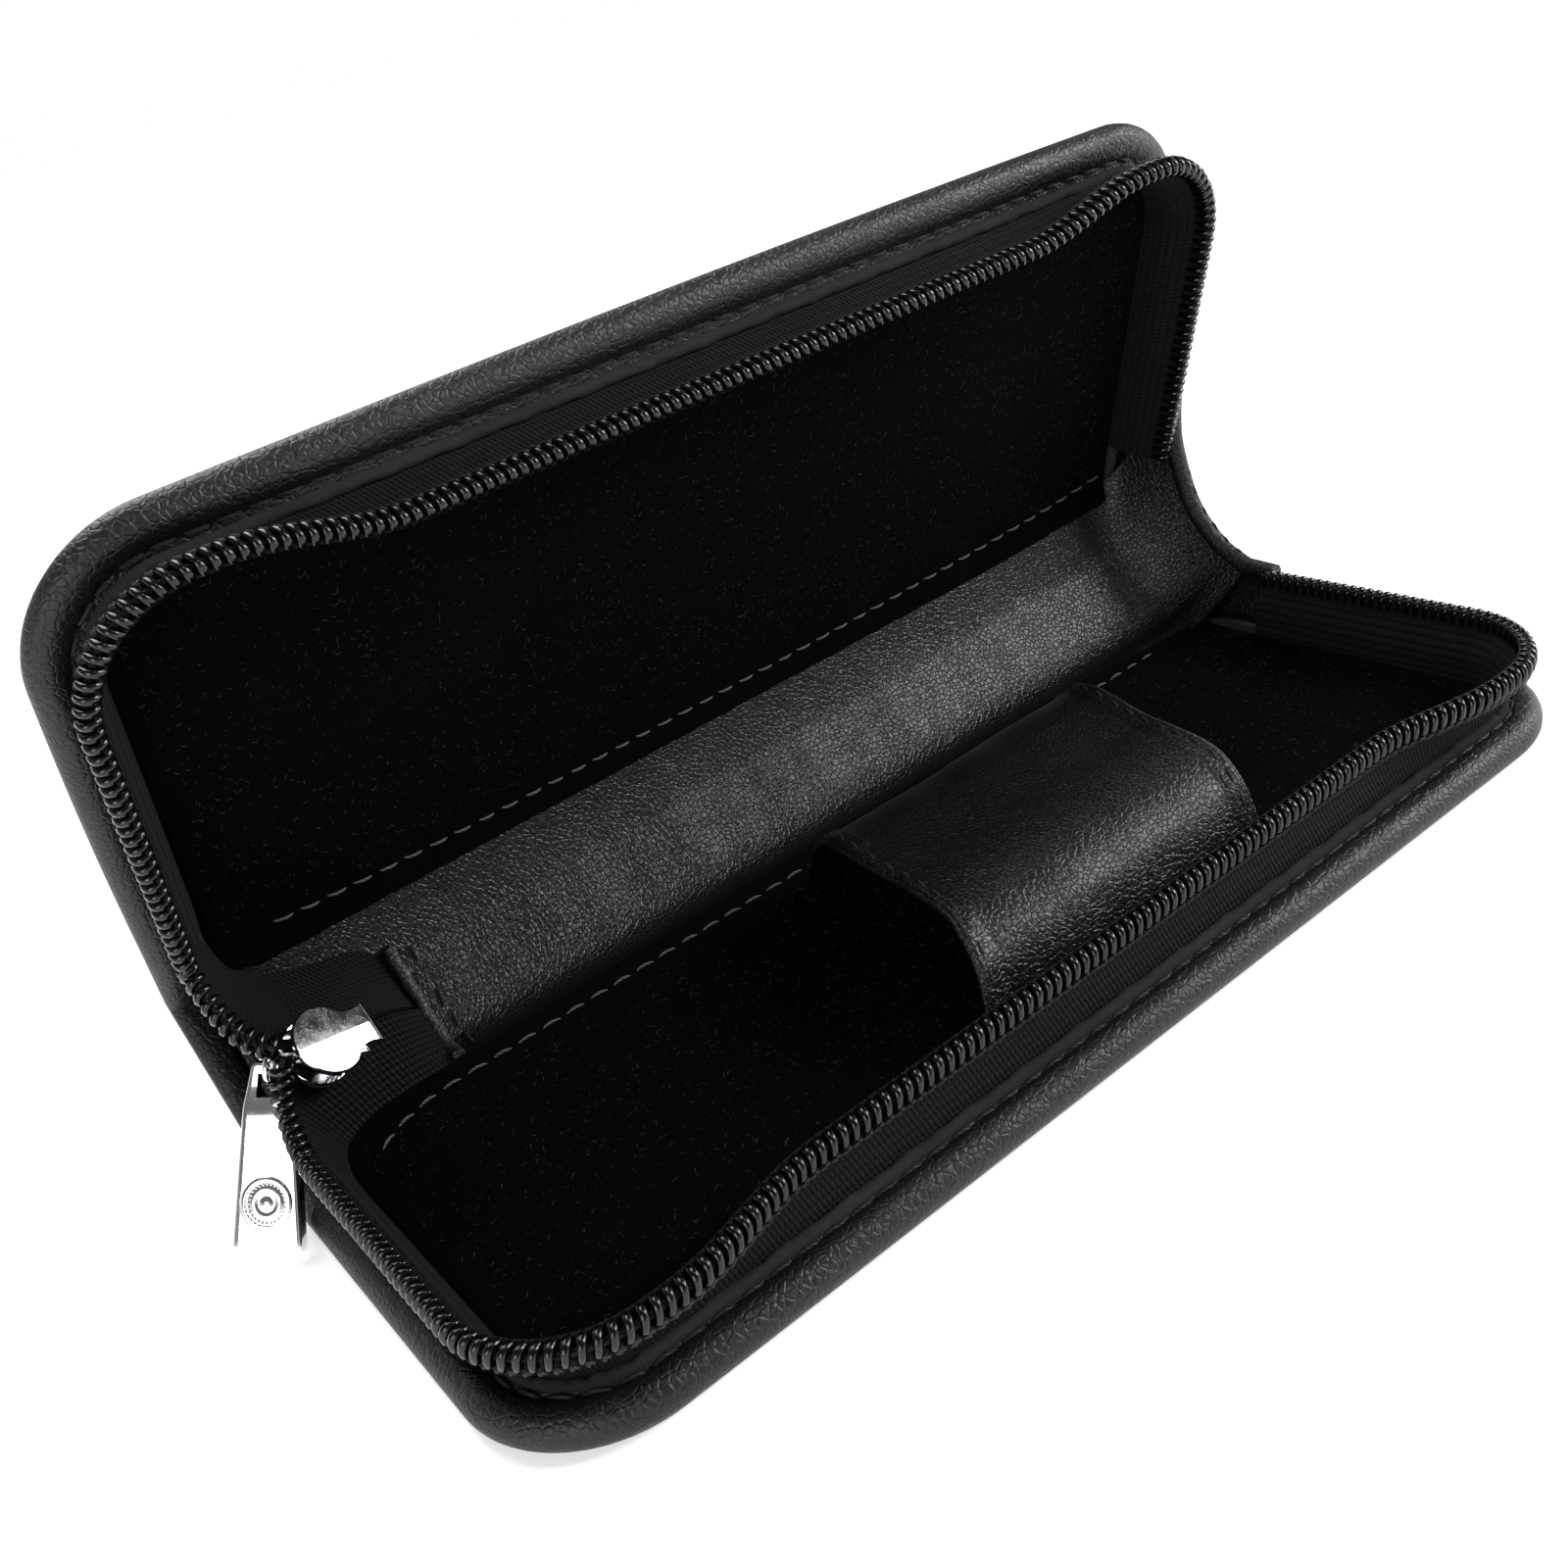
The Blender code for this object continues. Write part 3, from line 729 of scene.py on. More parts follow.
def cut_edge(name, body, at):
    """The raw edge of the rim's leather, slightly torn."""
    rows = []
    for inset, w in CUT_EDGE:
        flat = plan(inset, 2.0)
        top = w > 4.3
        torn = [0.13 * math.sin(2.3 * k) + 0.10 * math.sin(5.1 * k + inset * 3) for k in range(len(flat))]
        lift = np.array(torn) * top + pleat(flat, 0.25 * top)
        tops = (w + lift) * back_taper(flat[:, 1])
        rows.append([at(x, u, h) for (x, u), h in zip(flat, tops)])
    return cloth(name, facing(body, np.array(rows).transpose(1, 0, 2)), 0.3, RAW_EDGE)


def build_half(body, at, bulge, ends):
    settle(shell(body + "_shell", body, at, bulge), body, "outer_leather", body + "_cover")
    settle(velour_panel(body + "_velour", body, at), body, "velour", body + "_lining")
    settle(velour_edge(body + "_velour_edge", body, at), body, "velour")
    settle(fibres(body + "_velour_fibres", at), body, "velour")
    above = at(0, 0, 1) - at(0, 0, 0)
    seam = np.array([at(*p) for p in smooth(SEAM_ROW[body], 160)])
    seam = stitches(body + "_velour_stitches", seam, above, THREAD_GREY, 3.5, 2.6, 0.19, 0.2)
    settle(seam, body, "velour")
    settle(tape_wall(body + "_tape_wall", body, at, ends), body, "zip_tape", body + "_zip_tape")
    path, out, up = coil_frame(at, ends)
    if np.dot(out[len(out) // 2], at(0, 66, 12) - at(0, 60, 12)) <= 0:
        out = -out
    settle(spiral(body + "_coil_teeth", path, out, up), body, "zip_coil", body + "_zip_coil")
    settle(knit_row(body + "_coil_chain_stitch", path, out, up), body, "zip_tape")
    lip = np.array([path - out * 0.62 - up * (1.9 - k * 0.62) for k in range(6)]).transpose(1, 0, 2)
    settle(cloth(body + "_tape_lip", lip, 0.35, TAPE), body, "zip_tape")
    settle(tube(body + "_coil_cord", path - up * 0.1, CORD, THREAD_DARK, 6), body, "zip_coil")
    seam = rim_path(body, at, 4.05, 4.12)
    seam = stitches(body + "_rim_stitches", seam, above, THREAD_DARK, 3.4, 2.5, 0.30, 0.16)
    settle(seam, body, "outer_leather")
    settle(cut_edge(body + "_inner_edge", body, at), body, "outer_leather")
    for node, look in ((body + "_stiffener", BOARD), (body + "_edge_filler", FILLER)):
        looks = frame["nodes"][node].data.materials
        for index in range(len(looks)):
            looks[index] = look


# The spine's outer leather, in two pieces that meet along its middle.

def round_hinge(hinge, turn):
    """(y, z, inward normal) on the leather's outside round a hinge line."""
    stops = []
    for a in turn:
        y, z = math.cos(a), math.sin(a)
        stops.append((hinge[1] + LIFT * y, hinge[2] + LIFT * z, -y, -z))
    return stops


def along_flat(places, angle):
    """(y, z, inward normal) for places on a flat part that stands at an angle."""
    return [(y, z, -math.sin(angle), math.cos(angle)) for _, y, z in places]


def back_path():
    """(y, z, inward normal) along the outside from base to lid, split at the spine's middle."""
    near, half, far = 1.2, SPINE_WIDTH / 2, SPINE_WIDTH - 1.2
    down = -math.pi / 2
    lower = [(HINGE_1[1] - u, HINGE_1[2] - LIFT, 0, 1) for u in (7.0, 5.5, 4.2, 3.0, 2.0, 1.0)]
    lower += round_hinge(HINGE_1, down + SPINE_ANGLE * np.linspace(0, 1, 9))
    lower += along_flat([spine_at(0, s, -LIFT) for s in np.linspace(near, half, 9)], SPINE_ANGLE)
    upper = along_flat([spine_at(0, s, -LIFT) for s in np.linspace(half, far, 9)], SPINE_ANGLE)
    upper += round_hinge(HINGE_2, down + SPINE_ANGLE + (LID_ANGLE - SPINE_ANGLE) * np.linspace(0, 1, 11))
    upper += along_flat([lid_at(0, u, 0) for u in (1.0, 2.0, 3.0, 4.2, 5.5, 7.0)], LID_ANGLE)
    return lower, upper


def back_section(reach, roll):
    """(x, height) round the spine's leather: outer face, rolled ends that stand higher, inner face."""
    outer = [(x, 0.0) for x in np.linspace(roll - reach, reach - roll, 41)]
    end = []
    for t in np.radians(np.linspace(-90, 90, 9)[1:]):
        end.append((reach - roll + roll * math.cos(t), roll + roll * math.sin(t)))
    end += [(reach - 3.2, 2 * roll - 0.05), (reach - 3.9, 2 * roll - 0.4), (reach - 4.1, 2 * roll - 0.9)]
    end += [(reach - 4.6, 2 * roll - 0.35), (reach - 5.3, 2 * roll - 0.3), (reach - 5.9, 1.3)]
    inner = [(x, 1.3) for x in np.linspace(reach - 6.5, 6.5 - reach, 31)]
    return outer + end + inner + [(-x, h) for x, h in reversed(end)]


def back_piece(name, stops, buried_first):
    """The spine's leather over some stops. Its buried end sinks in under the cover of a half."""
    rows = []
    for k, (y, z, ny, nz) in enumerate(stops):
        depth = k if buried_first else len(stops) - 1 - k
        sink = 0.9 * (1 - ramp(float(depth), 1.0, 4.0))
        section = back_section(HALF_LENGTH - 0.05 - sink, 1.55 - 0.35 * (sink > 0))
        rows.append([(x + CENTRE_X, y + ny * (h + sink), z + nz * (h + sink)) for x, h in section])
    return skin(name, rows, OUTER, wrap_across=True, caps=True)


def build_back():
    lower, upper = back_path()
    lower, upper = back_piece("spine_skin_lower", lower, True), back_piece("spine_skin_upper", upper, False)
    bend(lower, BASE_TO_SPINE, *CREASE_BENDS[0], "outer_leather", "spine_cover")
    bend(upper, SPINE_TO_LID, *CREASE_BENDS[1], "outer_leather")


# The spine's inner lining: a trough that scoops up into the end band at the right.

# (y, z) from the first hinge line: across the trough from the base's lining to the lid's.
TROUGH = (
    (-7.0, 2.8), (-5.5, 3.05), (-4.0, 3.3), (-2.6, 3.15), (-1.2, 2.9), (1.2, 3.7), (4.0, 6.2),
    (6.9, 10.2), (8.7, 13.0), (10.0, 16.4), (10.7, 19.2), (10.95, 20.8), (11.05, 22.2), (11.05, 23.7),
)
TROUGH_MIDDLE = 7
END_EDGE = (
    (-12.0, 11.2), (-10.6, 11.9), (-9.6, 12.4), (-8.4, 13.1), (-7.2, 14.0), (-5.9, 15.3), (-4.3, 17.2),
    (-3.0, 19.2), (-2.0, 21.6), (-1.3, 24.3), (-0.7, 27.5), (-0.4, 30.8), (-0.7, 34.2), (-1.3, 37.6),
)
END_X, SCOOP_X = 80.9, 66.0
HEM_X = -57.0


def by_hinge(x, y, z):
    return np.array((x + CENTRE_X, HINGE_1[1] + y, HINGE_1[2] + z))


def trough_line(points, upper, count=44):
    half = points[TROUGH_MIDDLE:] if upper else points[: TROUGH_MIDDLE + 1]
    return smooth(half, count)


def trough_rows(upper):
    low, high = trough_line(TROUGH, upper), trough_line(END_EDGE, upper)
    scoop = SCOOP_X + (END_X - SCOOP_X) * np.linspace(0, 1, 37) ** 0.8
    columns = np.concatenate([np.linspace(HEM_X, SCOOP_X, 74)[:-1], scoop])
    power = 2.6 + 6.0 * np.linspace(0, 1, len(low)) ** 2 * upper
    quarter = np.linspace(0, math.pi / 2, len(low))
    fade = np.cos(quarter) if upper else np.sin(quarter)
    rows = []
    for x in columns:
        share = (max((x - SCOOP_X) / (END_X - SCOOP_X), 0) ** power)[:, None]
        mix = low * (1 - share) + high * share
        ripple = 0.10 * math.sin(x * 0.31) + 0.06 * math.sin(x * 0.83 + 1.1)
        mix = mix + turned(mix) * (ripple * fade)[:, None]
        rows.append([by_hinge(x, y, z) for y, z in mix])
    return np.array(rows)


SPINE_WAY = np.array((math.cos(SPINE_ANGLE), math.sin(SPINE_ANGLE)))
OFF_SPINE = spine_at(0, 0, 1) - spine_at(0, 0, 0)
HEM_FOOT, HEM_TOP, HEM_THICK = 0.4, 17.0, 0.85


def build_trough():
    hem_lift = OFF_SPINE * 0.55
    for upper, name, bodies, span, nodes in (
        (False, "spine_lining_lower", BASE_TO_SPINE, LINING_BENDS[0], ("spine_lining",)),
        (True, "spine_lining_upper", SPINE_TO_LID, LINING_BENDS[1], ()),
    ):
        rows = trough_rows(upper)
        bend(cloth(name, rows, 0.9, INNER), bodies, *span, "inner_leather", *nodes)
        line = trough_line(TROUGH, upper)
        hem = line[line @ SPINE_WAY < HEM_TOP] if upper else line[line @ SPINE_WAY > HEM_FOOT]
        hem = [by_hinge(HEM_X - 0.25 + 0.07 * math.sin(k * 0.55), *p) for k, p in enumerate(hem)]
        fold = tube(name + "_hem", np.array(hem) + hem_lift, HEM_THICK, HEM_LOOK, 12)
        bend(fold, bodies, *span, "inner_leather", *(("spine_lining_hem",) if not upper else ()))
        seam = [p + np.array((2.6, 0, 0)) + hem_lift * 0.7 for p in hem]
        seam = stitches(name + "_hem_stitches", seam, hem_lift, THREAD_DARK, 3.2, 2.2, 0.2)
        bend(seam, bodies, *span, "inner_leather")
    strip = trough_line(TROUGH, True, 80)
    strip = evenly(strip[strip @ SPINE_WAY > HEM_TOP], 24)
    rows = np.array([[by_hinge(x, y, z) for y, z in strip] for x in np.linspace(-76.3, HEM_X + 1.0, 30)])
    strip = cloth("spine_lining_left_strip", rows, 0.9, INNER)
    bend(strip, SPINE_TO_LID, *LINING_BENDS[1], "inner_leather")


def build_end_band():
    """The closed right end: a web of leather with a rolled and stitched edge that joins the two tapes."""
    for upper, name, bodies, span, nodes in (
        (False, "end_web_lower", BASE_TO_SPINE, LINING_BENDS[0], ("end_gusset",)),
        (True, "end_web_upper", SPINE_TO_LID, LINING_BENDS[1], ()),
    ):
        low, high = trough_line(TROUGH, upper, 24) + (1.0, -1.1), trough_line(END_EDGE, upper, 24)
        if upper:
            low = np.vstack([low, np.linspace((8.4, 31.8), low[-1], 8, endpoint=False)[::-1]])
            high = np.vstack([high, np.linspace((-1.5, 38.4), high[-1], 8, endpoint=False)[::-1]])
        else:
            low = np.vstack([np.linspace((-17.2, 2.4), low[0], 8, endpoint=False), low])
            high = np.vstack([np.linspace((-17.2, 10.9), high[0], 8, endpoint=False), high])
        rows = []
        for k in np.linspace(0, 1, 12):
            x = 80.6 + 1.0 * math.sin(k * math.pi * 0.9)
            line = low * (1 - k) + high * k
            rows.append([by_hinge(x, y, z) for y, z in line])
        web = cloth(name, np.array(rows), 0.9, OUTER)
        bend(web, bodies, *span, "outer_leather", *nodes)
        edge = np.array([by_hinge(81.0, y, z) for y, z in high])
        band = tube(name + "_roll", edge, 1.35, OUTER, 14)
        bend(band, bodies, *span, "outer_leather")
        out = np.array((0.25, -0.72, 0.65))
        seam = stitches(name + "_stitches", edge + out * 1.32, out, THREAD_DARK, 2.8, 2.0, 0.18)
        bend(seam, bodies, *span, "outer_leather")


# The zip's forks, its closed stub and the tape that fans out from them.

BASE_FORK = (
    (-80.3, -16.0, 10.5), (-79.7, -12.2, 11.2), (-78.9, -9.3, 13.1), (-77.9, -7.8, 15.6), (-76.6, -7.6, 18.2),
)
LID_FORK = (
    (-80.3, 0.9, 29.0), (-80.2, -1.7, 25.9), (-79.5, -4.2, 23.0), (-78.4, -6.0, 20.9), (-76.9, -7.3, 19.6),
)
# The chain's middle line behind the slider, as x and p in the spine's own frame.
CHAIN = ((-66.4, 11.2), (-63.2, 8.9), (-60.9, 6.0), (-59.2, 3.2), (-58.3, 1.5), (-57.3, 0.7))
BASE_FOOT = (
    (-76.1, -16.0, 2.0), (-75.9, -11.5, 2.2), (-74.4, -7.0, 2.4), (-70.0, -4.4, 2.5), (-62.0, -3.8, 2.4),
    (-57.4, -3.6, 2.1),
)
LID_FOOT = (
    (-76.1, 8.9, 32.0), (-75.9, 10.6, 27.5), (-75.0, 11.5, 23.0), (-72.5, 11.4, 19.6), (-68.0, 11.0, 17.8),
    (-62.0, 10.7, 17.0), (-57.4, 10.5, 16.6),
)


CORD = 0.42  # the radius of the cord inside a coil
STUB_S = 8.6  # where the closed chain lies across the spine


def fork(name, route, bodies, span, side):
    """The coil from the end of a half's rim into the slider, turning from the half's frame to the zip's."""
    path = smooth([by_hinge(*p) for p in route], 60)
    tangents, _, _ = frames(path)
    start_up = np.array((0, 0, 1.0)) if side < 0 else lid_at(0, 0, 1) - lid_at(0, 0, 0)
    end_up = np.array((0.0, 0.1, 0.05)) + (zip_at(0, -side, 0) - zip_at(0, 0, 0)) * side
    share = ramp(np.linspace(0, 1, len(path)), 0.1, 1.0)[:, None]
    up = start_up[None] * (1 - share) + end_up[None] * share
    up = unit(up - tangents * (up * tangents).sum(axis=1, keepdims=True))
    teeth = spiral(name, path, np.cross(up, tangents), up)
    bend(teeth, bodies, *span, "zip_coil")
    cord = tube(name + "_cord", path, CORD, THREAD_DARK, 6)
    bend(cord, bodies, *span, "zip_coil")
    return path


def fan(name, fork_path, foot, bodies, span, nodes=()):
    """Tape between the fork and chain above and the lining's edge below."""
    chain = smooth([spine_at(x, STUB_S, p + 0.85) for x, p in CHAIN], 40)
    join = zip_at(-1.0, 0.0, 0.3)[None]
    top = evenly(np.vstack([fork_path, join, chain]), 70)
    bottom = smooth([by_hinge(*p) for p in foot], 70)
    rows = []
    for k in np.linspace(0.03, 1, 12):
        sag = math.sin(k * math.pi) * 0.9
        rows.append(top * (1 - k) + bottom * k - OFF_SPINE[None] * sag)
    item = cloth(name, np.array(rows).transpose(1, 0, 2), 0.55, TAPE)
    bend(item, bodies, *span, "zip_tape", *nodes)


def stop_at(a, v, n):
    return spine_at(-54.8 + a, STUB_S + v, 0.55 + n)


def build_zip_end():
    lower = fork("base_fork_teeth", BASE_FORK, BASE_TO_SPINE, FORK_BENDS[0], -1)
    upper = fork("lid_fork_teeth", LID_FORK, SPINE_TO_LID, FORK_BENDS[1], 1)
    fan("base_fork_tape", lower, BASE_FOOT, BASE_TO_SPINE, FORK_BENDS[0], ("stub_zip_tape",))
    fan("lid_fork_tape", upper, LID_FOOT, SPINE_TO_LID, FORK_BENDS[1])
    chain = smooth([spine_at(x, STUB_S, p) for x, p in CHAIN], 60)
    tangents, _, _ = frames(chain)
    across = spine_at(0, 1, 0) - spine_at(0, 0, 0)
    up = np.cross(tangents, across[None])
    up *= np.sign((up @ OFF_SPINE).mean())
    for side, name in ((-1, "stub_teeth_lower"), (1, "stub_teeth_upper")):
        path = chain + across[None] * side * 0.85 - up * 1.5
        out = np.broadcast_to(across * side, path.shape)
        item = spiral(name, path, up, -out, wide=0.7, tall=0.95)
        settle(item, "spine", "zip_coil", *(("stub_zip_chain",) if side < 0 else ()))
    stop = [(-0.8, -1.4), (0.8, -1.4), (0.8, 1.4), (-0.8, 1.4)]
    stop = slab("bottom_stop_clamp", stop, -0.5, 0.5, stop_at, METAL)
    settle(stop, "spine", "plated_metal", "zip_bottom_stop")


# The slider, its loop and the pull.

def slab(name, outline, low, high, at, material, edge=0.22):
    """A flat piece with softened edges: outline in its plane, thickness from low to high, mapped by at."""
    points = np.array(outline, float)
    middle = points.mean(axis=0)
    after, before = np.roll(points, -1, axis=0), np.roll(points, 1, axis=0)
    along = unit(after - before)
    normal = np.stack([along[:, 1], -along[:, 0]], axis=1)
    if ((points - middle) * normal).sum() < 0:
        normal = -normal
    soft = edge * 0.3
    lower = [(edge * 3, low), (edge, low), (soft, low + soft), (0, low + edge)]
    upper = [(0, high - edge), (soft, high - soft), (edge, high), (edge * 3, high)]
    rings = [[at(x, y, h) for x, y in points - normal * inward] for inward, h in lower + upper]
    n, m = len(rings), len(points)
    verts = [p for ring in rings for p in ring]
    faces = [
        (i * m + j, i * m + (j + 1) % m, (i + 1) * m + (j + 1) % m, (i + 1) * m + j)
        for i in range(n - 1)
        for j in range(m)
    ]
    faces += [list(range(m))[::-1], list(range((n - 1) * m, n * m))]
    return new_mesh(name, verts, faces, material)


NOSE, NOSE_RADIUS, TAIL = -1.2, 4.15, 5.2
UPPER_FALL = 0.065  # the inner plate's upper half falls away a little from its middle line


def plate_half_width(a):
    if a < 0.75:
        return math.sqrt(max(NOSE_RADIUS**2 - (a - NOSE) ** 2, 0.0))
    return float(np.interp(a, (0.75, 1.4, 2.2, 3.0, 3.8, 4.6, TAIL), (3.66, 3.1, 2.55, 2.3, 2.28, 2.42, 2.6)))


def plate(name, inner, outer, fall):
    """A slider plate: a round nose, a waist and a tail, between two heights n, with eased edges."""
    angles = np.linspace(0.12, 2.05, 22)
    stations = list(NOSE - NOSE_RADIUS * np.cos(angles[:-1])) + list(np.linspace(0.8, TAIL, 18))
    rows = []
    for k, a in enumerate(stations):
        half, ease = plate_half_width(a), 0.16
        end = 0.10 if k in (0, len(stations) - 1) else 0.0
        ridge = (half - ease, half * 0.5, 0.04, 0, -0.04, -half * 0.5, ease - half)
        top = [(v, inner - end - fall * max(v, 0)) for v in ridge]
        low = [(v, outer + end) for v in (ease - half, 0, half - ease)]
        ring = [(half, inner - ease - fall * half)] + top + [(-half, inner - ease), (-half, outer + ease)]
        ring += low + [(half, outer + ease)]
        rows.append([zip_at(a, v, n) for v, n in ring])
    item = skin(name, rows, METAL, wrap_across=True, caps=True)
    item.data.set_sharp_from_angle(angle=math.radians(32))
    return item


def build_slider():
    settle(plate("slider_inner_plate", 1.95, 1.0, UPPER_FALL), "spine", "plated_metal", "slider_body")
    settle(plate("slider_outer_plate", -1.0, -1.95, 0.0), "spine", "plated_metal")
    post = [(-3.6 + 1.5 * math.cos(t), 0.8 * math.sin(t)) for t in round_steps(20)]
    settle(slab("slider_post", post, -1.2, 1.2, zip_at, METAL, 0.05), "spine", "plated_metal")
    for sign, name in ((1, "slider_flange_upper"), (-1, "slider_flange_lower")):
        rail = smooth([(-0.2, 3.85 * sign), (1.8, 2.75 * sign), (3.2, 2.1 * sign), (4.7, 2.1 * sign)], 16)
        inner = [(a, v - 0.5 * sign) for a, v in rail][::-1]
        ring = [tuple(p) for p in rail] + inner
        settle(slab(name + "_inner", ring, 0.62, 1.2, zip_at, METAL, 0.06), "spine", "plated_metal")
        settle(slab(name + "_outer", ring, -1.2, -0.62, zip_at, METAL, 0.06), "spine", "plated_metal")
    hoop = ((-3.9, -1.7), (-4.3, -2.5), (-4.9, -2.85), (-5.5, -2.5), (-5.7, -1.5))
    bridge = smooth([zip_at(a, 0, n) for a, n in hoop], 20)
    settle(tube("slider_bridge", bridge, 0.42, METAL, 12), "spine", "plated_metal")


OFFSET = np.array((-10.4, -5.8, -16.0))
PULL_UP = -OFFSET / np.linalg.norm(OFFSET)
PULL_ACROSS = np.array(JOINTS["pull_swing"]["axis"])
PULL_FACE = np.cross(PULL_UP, PULL_ACROSS)
HANG = math.radians(4)  # it hangs a little askew


def pull_at(x, down, out):
    c, k = math.cos(HANG), math.sin(HANG)
    return PIVOT + PULL_ACROSS * (x * c - down * k) - PULL_UP * (down * c + x * k) + PULL_FACE * out


PULL_LENGTH = 19.8
# Down the pull: (distance, half width, half thickness).
PULL_STATIONS = (
    (-0.55, 1.7, 0.45), (-0.3, 2.05, 0.5), (0.5, 2.3, 0.5), (2.2, 2.6, 0.62), (3.7, 2.9, 0.8),
    (5.0, 3.02, 1.0), (6.6, 3.12, 1.08), (12.0, 3.5, 1.1), (17.5, 3.86, 1.1), (19.3, 3.98, 1.05),
    (19.75, 3.9, 0.8),
)
# The medallion's rings: (radius, height). It lies in a round recess near the pull's lower end.
MEDALLION = (
    (0.001, 0.30), (0.55, 0.30), (0.75, 0.12), (1.05, 0.10), (1.2, 0.26), (1.75, 0.26), (1.95, 0.08),
    (2.35, 0.08), (2.5, 0.34), (2.85, 0.34), (2.95, 0.2), (2.95, -0.1), (0.001, -0.1),
)
MEDALLION_DOWN, MEDALLION_OUT = PULL_LENGTH - 5.2, 0.86
RECESS_RADIUS, BEAD_CIRCLE = 3.05, 2.15
LOOP_RADIUS, LOOP_WIRE = 1.5, 0.4


def around_medallion(radius, count):
    return [(radius * math.cos(t), MEDALLION_DOWN + radius * math.sin(t)) for t in round_steps(count)]


def cut_away(item, cutter):
    cut = item.modifiers.new(cutter.name, "BOOLEAN")
    cut.operation, cut.object, cut.solver = "DIFFERENCE", cutter, "EXACT"
    bpy.context.view_layer.update()
    result = item.evaluated_get(bpy.context.evaluated_depsgraph_get())
    done = bpy.data.meshes.new_from_object(result)
    item.modifiers.clear()
    item.data = done
    bpy.data.objects.remove(cutter, do_unlink=True)


def build_pull():
    rows = []
    for down, half, deep in smooth(PULL_STATIONS, 60):
        wide = [squared(math.cos(a), 0.22) * half for a in round_steps(48)]
        thick = [squared(math.sin(a), 0.30) * deep for a in round_steps(48)]
        rows.append([pull_at(x, down, out) for x, out in zip(wide, thick)])
    body = skin("zip_pull", rows, METAL, wrap_across=True, caps=True)
    window = [(-1.35, 0.6), (1.35, 0.6), (1.45, 3.2), (-1.45, 3.2)]
    window = slab("pull_window_cutter", window, -3, 3, pull_at, METAL, 0.05)
    recess = around_medallion(RECESS_RADIUS, 48)
    recess = slab("pull_recess_cutter", recess, 0.85, 3, pull_at, METAL, 0.02)
    cut_away(body, window)
    cut_away(body, recess)
    body.data.set_sharp_from_angle(angle=math.radians(35))
    settle(body, "pull", "plated_metal", "pull_tab")
    disc = lathe("pull_medallion_rings", MEDALLION, 64, METAL)
    side = pull_at(1, 0, 0) - PIVOT
    matrix = np.stack([side, np.cross(PULL_FACE, side), PULL_FACE], axis=1)
    place = pull_at(0, MEDALLION_DOWN, MEDALLION_OUT)
    co = np.array([v.co for v in disc.data.vertices]) / MM
    disc.data.vertices.foreach_set("co", ((co @ matrix.T + place) * MM).astype(np.float32).reshape(-1))
    disc.data.update()
    face_out(disc.data)
    settle(disc, "pull", "plated_metal", "pull_medallion")
    beads = []
    for x, down in around_medallion(BEAD_CIRCLE, 28):
        beads.append(np.array([pull_at(x, down, MEDALLION_OUT + h) for h in (0.0, 0.14, 0.26, 0.3)]))
    beads = many_tubes("pull_medallion_beads", beads, (0.18, 0.17, 0.12, 0.03), METAL, 8)
    settle(beads, "pull", "plated_metal")
    rows = []
    for t in round_steps(40):
        radial = PULL_UP * math.cos(t) + PULL_FACE * math.sin(t)
        ring = []
        for a in round_steps(12):
            reach = LOOP_RADIUS + LOOP_WIRE * math.cos(a)
            ring.append(PIVOT + radial * reach + PULL_ACROSS * LOOP_WIRE * math.sin(a))
        rows.append(ring)
    loop = skin("pull_loop", rows, METAL, wrap_across=True, wrap_along=True)
    settle(loop, "loop", "plated_metal", "slider_loop")


# The pen sleeve.

# Over the sleeve from the hinge's side to the front, as (u, w).
SLEEVE_SKIN = (
    (11.2, 5.0), (12.6, 6.6), (14.4, 9.0), (16.4, 11.8), (18.6, 14.4), (22.0, 16.6), (26.2, 17.5),
    (31.2, 17.2), (36.2, 17.0), (41.2, 17.4), (46.0, 17.5), (50.0, 16.7), (53.2, 14.2), (55.0, 10.6),
    (55.9, 7.4), (56.1, 5.0),
)
# The sleeve's slanting ends, as (u, x).
SLEEVE_LEFT = ((8.0, -8.6), (26.8, -12.0), (37.8, -12.6), (48.0, -14.2), (53.8, -16.2), (56.5, -18.2))
SLEEVE_RIGHT = ((8.0, 37.0), (19.2, 34.7), (32.2, 31.9), (43.4, 29.4), (49.2, 28.5), (56.5, 26.9))
# The hem at an end, from its edge inwards: (share of the length, height). Its stitches pull a dip.
SLEEVE_HEM = ((0, 0), (0.006, 0.34), (0.014, 0.42), (0.026, 0.12), (0.05, 0.36), (0.062, 0))
SLEEVE_SEAM = 3  # the hem's station with the stitches
SLEEVE_MIDDLE = 50  # stations between the two hems
LINING_DEPTH, LINING_FOOT = 1.25, 4.95


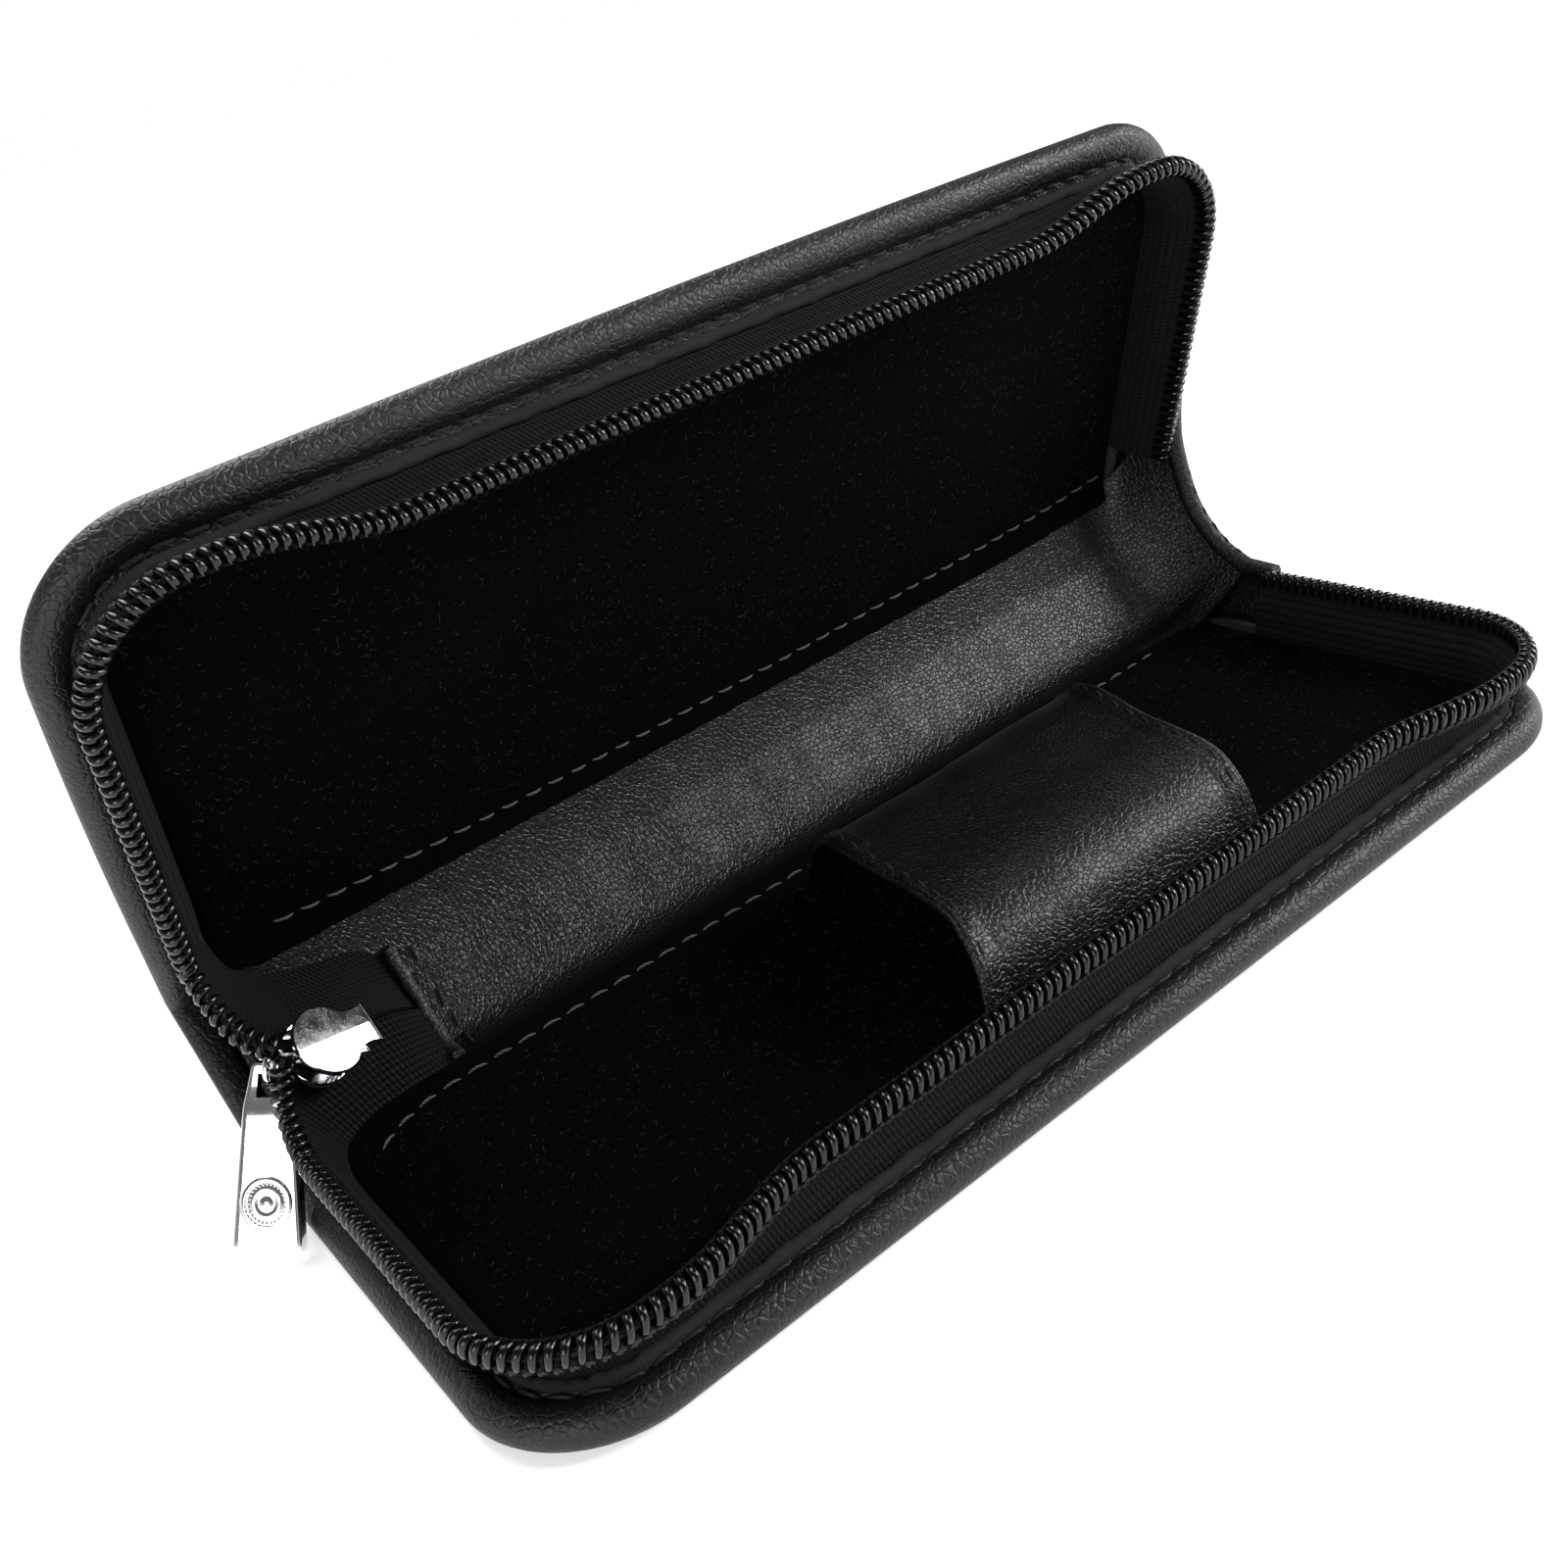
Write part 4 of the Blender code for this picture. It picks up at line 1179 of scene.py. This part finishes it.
def build_sleeve():
    profile = smooth(SLEEVE_SKIN, 70)
    left = np.interp(profile[:, 0], *np.array(SLEEVE_LEFT).T)
    right = np.interp(profile[:, 0], *np.array(SLEEVE_RIGHT).T)
    hem, height = np.array(SLEEVE_HEM, float).T
    shares = np.concatenate([hem, np.linspace(0.075, 0.925, SLEEVE_MIDDLE), 1 - hem[::-1]])
    heights = np.concatenate([height, np.zeros(SLEEVE_MIDDLE), height[::-1]])
    normals = turned(profile)
    rows = []
    for share, height in zip(shares, heights):
        row = []
        for i, (u, w) in enumerate(profile):
            x = left[i] + (right[i] - left[i]) * share
            crease = 0.10 * math.sin(x * 0.55 + w * 0.3) * math.sin(i * 0.21) * math.sin(math.pi * share)
            wave = 0.16 * math.sin(share * 9 + i * 0.09)
            rise = height + crease + wave * math.sin(math.pi * share)
            row.append(base_at(x, u + normals[i, 0] * rise, w + normals[i, 1] * rise))
        rows.append(row)
    rows = np.array(rows)
    settle(cloth("sleeve_leather", face_up(rows), 1.0, INNER), "base", "inner_leather", "pen_sleeve")
    lining = []
    for share in np.linspace(0.03, 0.97, 40):
        row = []
        for i, (u, w) in enumerate(profile[2:-2], 2):
            x = left[i] + (right[i] - left[i]) * share
            inner_u, inner_w = u - normals[i, 0] * LINING_DEPTH, w - normals[i, 1] * LINING_DEPTH
            row.append(base_at(x, inner_u, max(inner_w, LINING_FOOT)))
        lining.append(row)
    lining = cloth("sleeve_velour", face_up(np.array(lining)), 0.45, PILE)
    settle(lining, "base", "velour", "pen_sleeve_lining")
    for index, side in ((SLEEVE_SEAM, "left"), (-1 - SLEEVE_SEAM, "right")):
        line = rows[index]
        outward = unit(np.cross(np.gradient(line, axis=0), (1.0, 0, 0)))
        outward = (outward * np.sign(outward[len(outward) // 2, 2]))[3:-3]
        seam = line[3:-3] + outward * 0.05
        seam = stitches("sleeve_stitches_" + side, seam, outward, THREAD_DARK, 3.3, 2.4, 0.2)
        settle(seam, "base", "inner_leather")
    for index, side in ((0, "left"), (-1, "right")):
        edge = tube("sleeve_edge_" + side, rows[index][1:-1] - np.array((0, 0, 0.35)), 0.42, INNER, 10)
        settle(edge, "base", "inner_leather")


def face_up(rows):
    """The grid, run the other way where its normals would point into the sleeve."""
    normals = grid_normals(rows)
    return rows if normals[rows.shape[0] // 2, rows.shape[1] // 2, 2] > 0 else rows[:, ::-1]


# The camera, the floor and the light.

def build_stage():
    camera_data = bpy.data.cameras.new("camera")
    camera_data.lens, camera_data.sensor_width = 37.194, 36.0
    camera = bpy.data.objects.new("camera", camera_data)
    right = (0.7706648, -0.5960000, -0.2255210)
    up = (0.4467736, 0.2529975, 0.8581292)
    back = (-0.4543888, -0.7620868, 0.4612533)
    place = Vector((-101.371, -158.478, 114.441)) + Vector((HINGE_1[0], HINGE_1[1] - 8.8, 0))
    turn = Matrix((right, up, back)).transposed().to_4x4()
    camera.matrix_world = Matrix.Translation(place * MM) @ turn
    camera_data.clip_start = 0.005
    bpy.context.scene.collection.objects.link(camera)
    bpy.context.scene.camera = camera
    floor_look = Nodes("floor_look")
    tint = floor_look.mix(floor_look.noise(6, 3), (0.91, 0.91, 0.91, 1), (0.93, 0.93, 0.93, 1))
    floor_look.set(Base_Color=tint, Roughness=floor_look.span(floor_look.noise(30, 2), 0.3, 0.7, 0.65, 0.8))
    floor_look.set(Emission_Color=(1, 1, 1, 1), Emission_Strength=0.42)
    build = bmesh.new()
    bmesh.ops.create_grid(build, x_segments=8, y_segments=8, size=4.0)
    mesh = bpy.data.meshes.new("floor")
    build.to_mesh(mesh)
    build.free()
    mesh.materials.append(floor_look.material)
    floor = bpy.data.objects.new("floor", mesh)
    floor.location = (0, 0, -0.0002)
    bpy.context.scene.collection.objects.link(floor)
    world = bpy.data.worlds.new("studio")
    world.use_nodes = True
    add, link = world.node_tree.nodes.new, world.node_tree.links.new
    parts, tent = add("ShaderNodeSeparateXYZ"), add("ShaderNodeMapRange")
    link(add("ShaderNodeTexCoord").outputs["Generated"], parts.inputs[0])
    link(parts.outputs[2], tent.inputs["Value"])
    for key, value in (("From Min", 0.10), ("From Max", 0.42), ("To Min", 1.0), ("To Max", 0.16)):
        tent.inputs[key].default_value = value
    link(tent.outputs[0], world.node_tree.nodes["Background"].inputs[1])
    world.node_tree.nodes["Background"].inputs[0].default_value = (1, 1, 1, 1)
    bpy.context.scene.world = world
    bpy.context.scene.view_settings.view_transform = "Standard"
    lights = (
        ("key", (0.68, -0.47, 0.50), 0.36, 8.6),
        ("right", (0.66, -0.17, 0.26), 0.26, 2.0),
        ("left", (-0.62, -0.34, 0.30), 0.40, 2.9),
        ("rim", (0.05, 0.60, 0.55), 0.45, 4.0),
        ("spark", (0.07, -0.14, 0.36), 0.07, 0.15),
    )
    for name, place, size, power in lights:
        data = bpy.data.lights.new(name, "AREA")
        data.shape, data.size, data.energy = "SQUARE", size, power
        hang(name, data, place)
    data = bpy.data.lights.new("overhead", "SUN")
    data.energy, data.angle = 1.6, math.radians(34)
    hang("overhead", data, (0.0, 0.45, 1.0))


def hang(name, data, place):
    lamp = bpy.data.objects.new(name, data)
    lamp.location = place
    aim = Vector((0.0, 0.0, 0.02)) - Vector(place)
    lamp.rotation_euler = aim.to_track_quat("-Z", "Y").to_euler()
    bpy.context.scene.collection.objects.link(lamp)


TAPE_ENDS_BASE, TAPE_ENDS_LID = (16.0, 16.5), (16.0, 14.6)
build_stage()
build_half("base", base_at, 0.0, TAPE_ENDS_BASE)
build_half("lid", lid_at, 0.5, TAPE_ENDS_LID)
build_back()
build_trough()
build_end_band()
build_zip_end()
build_slider()
build_pull()
build_sleeve()
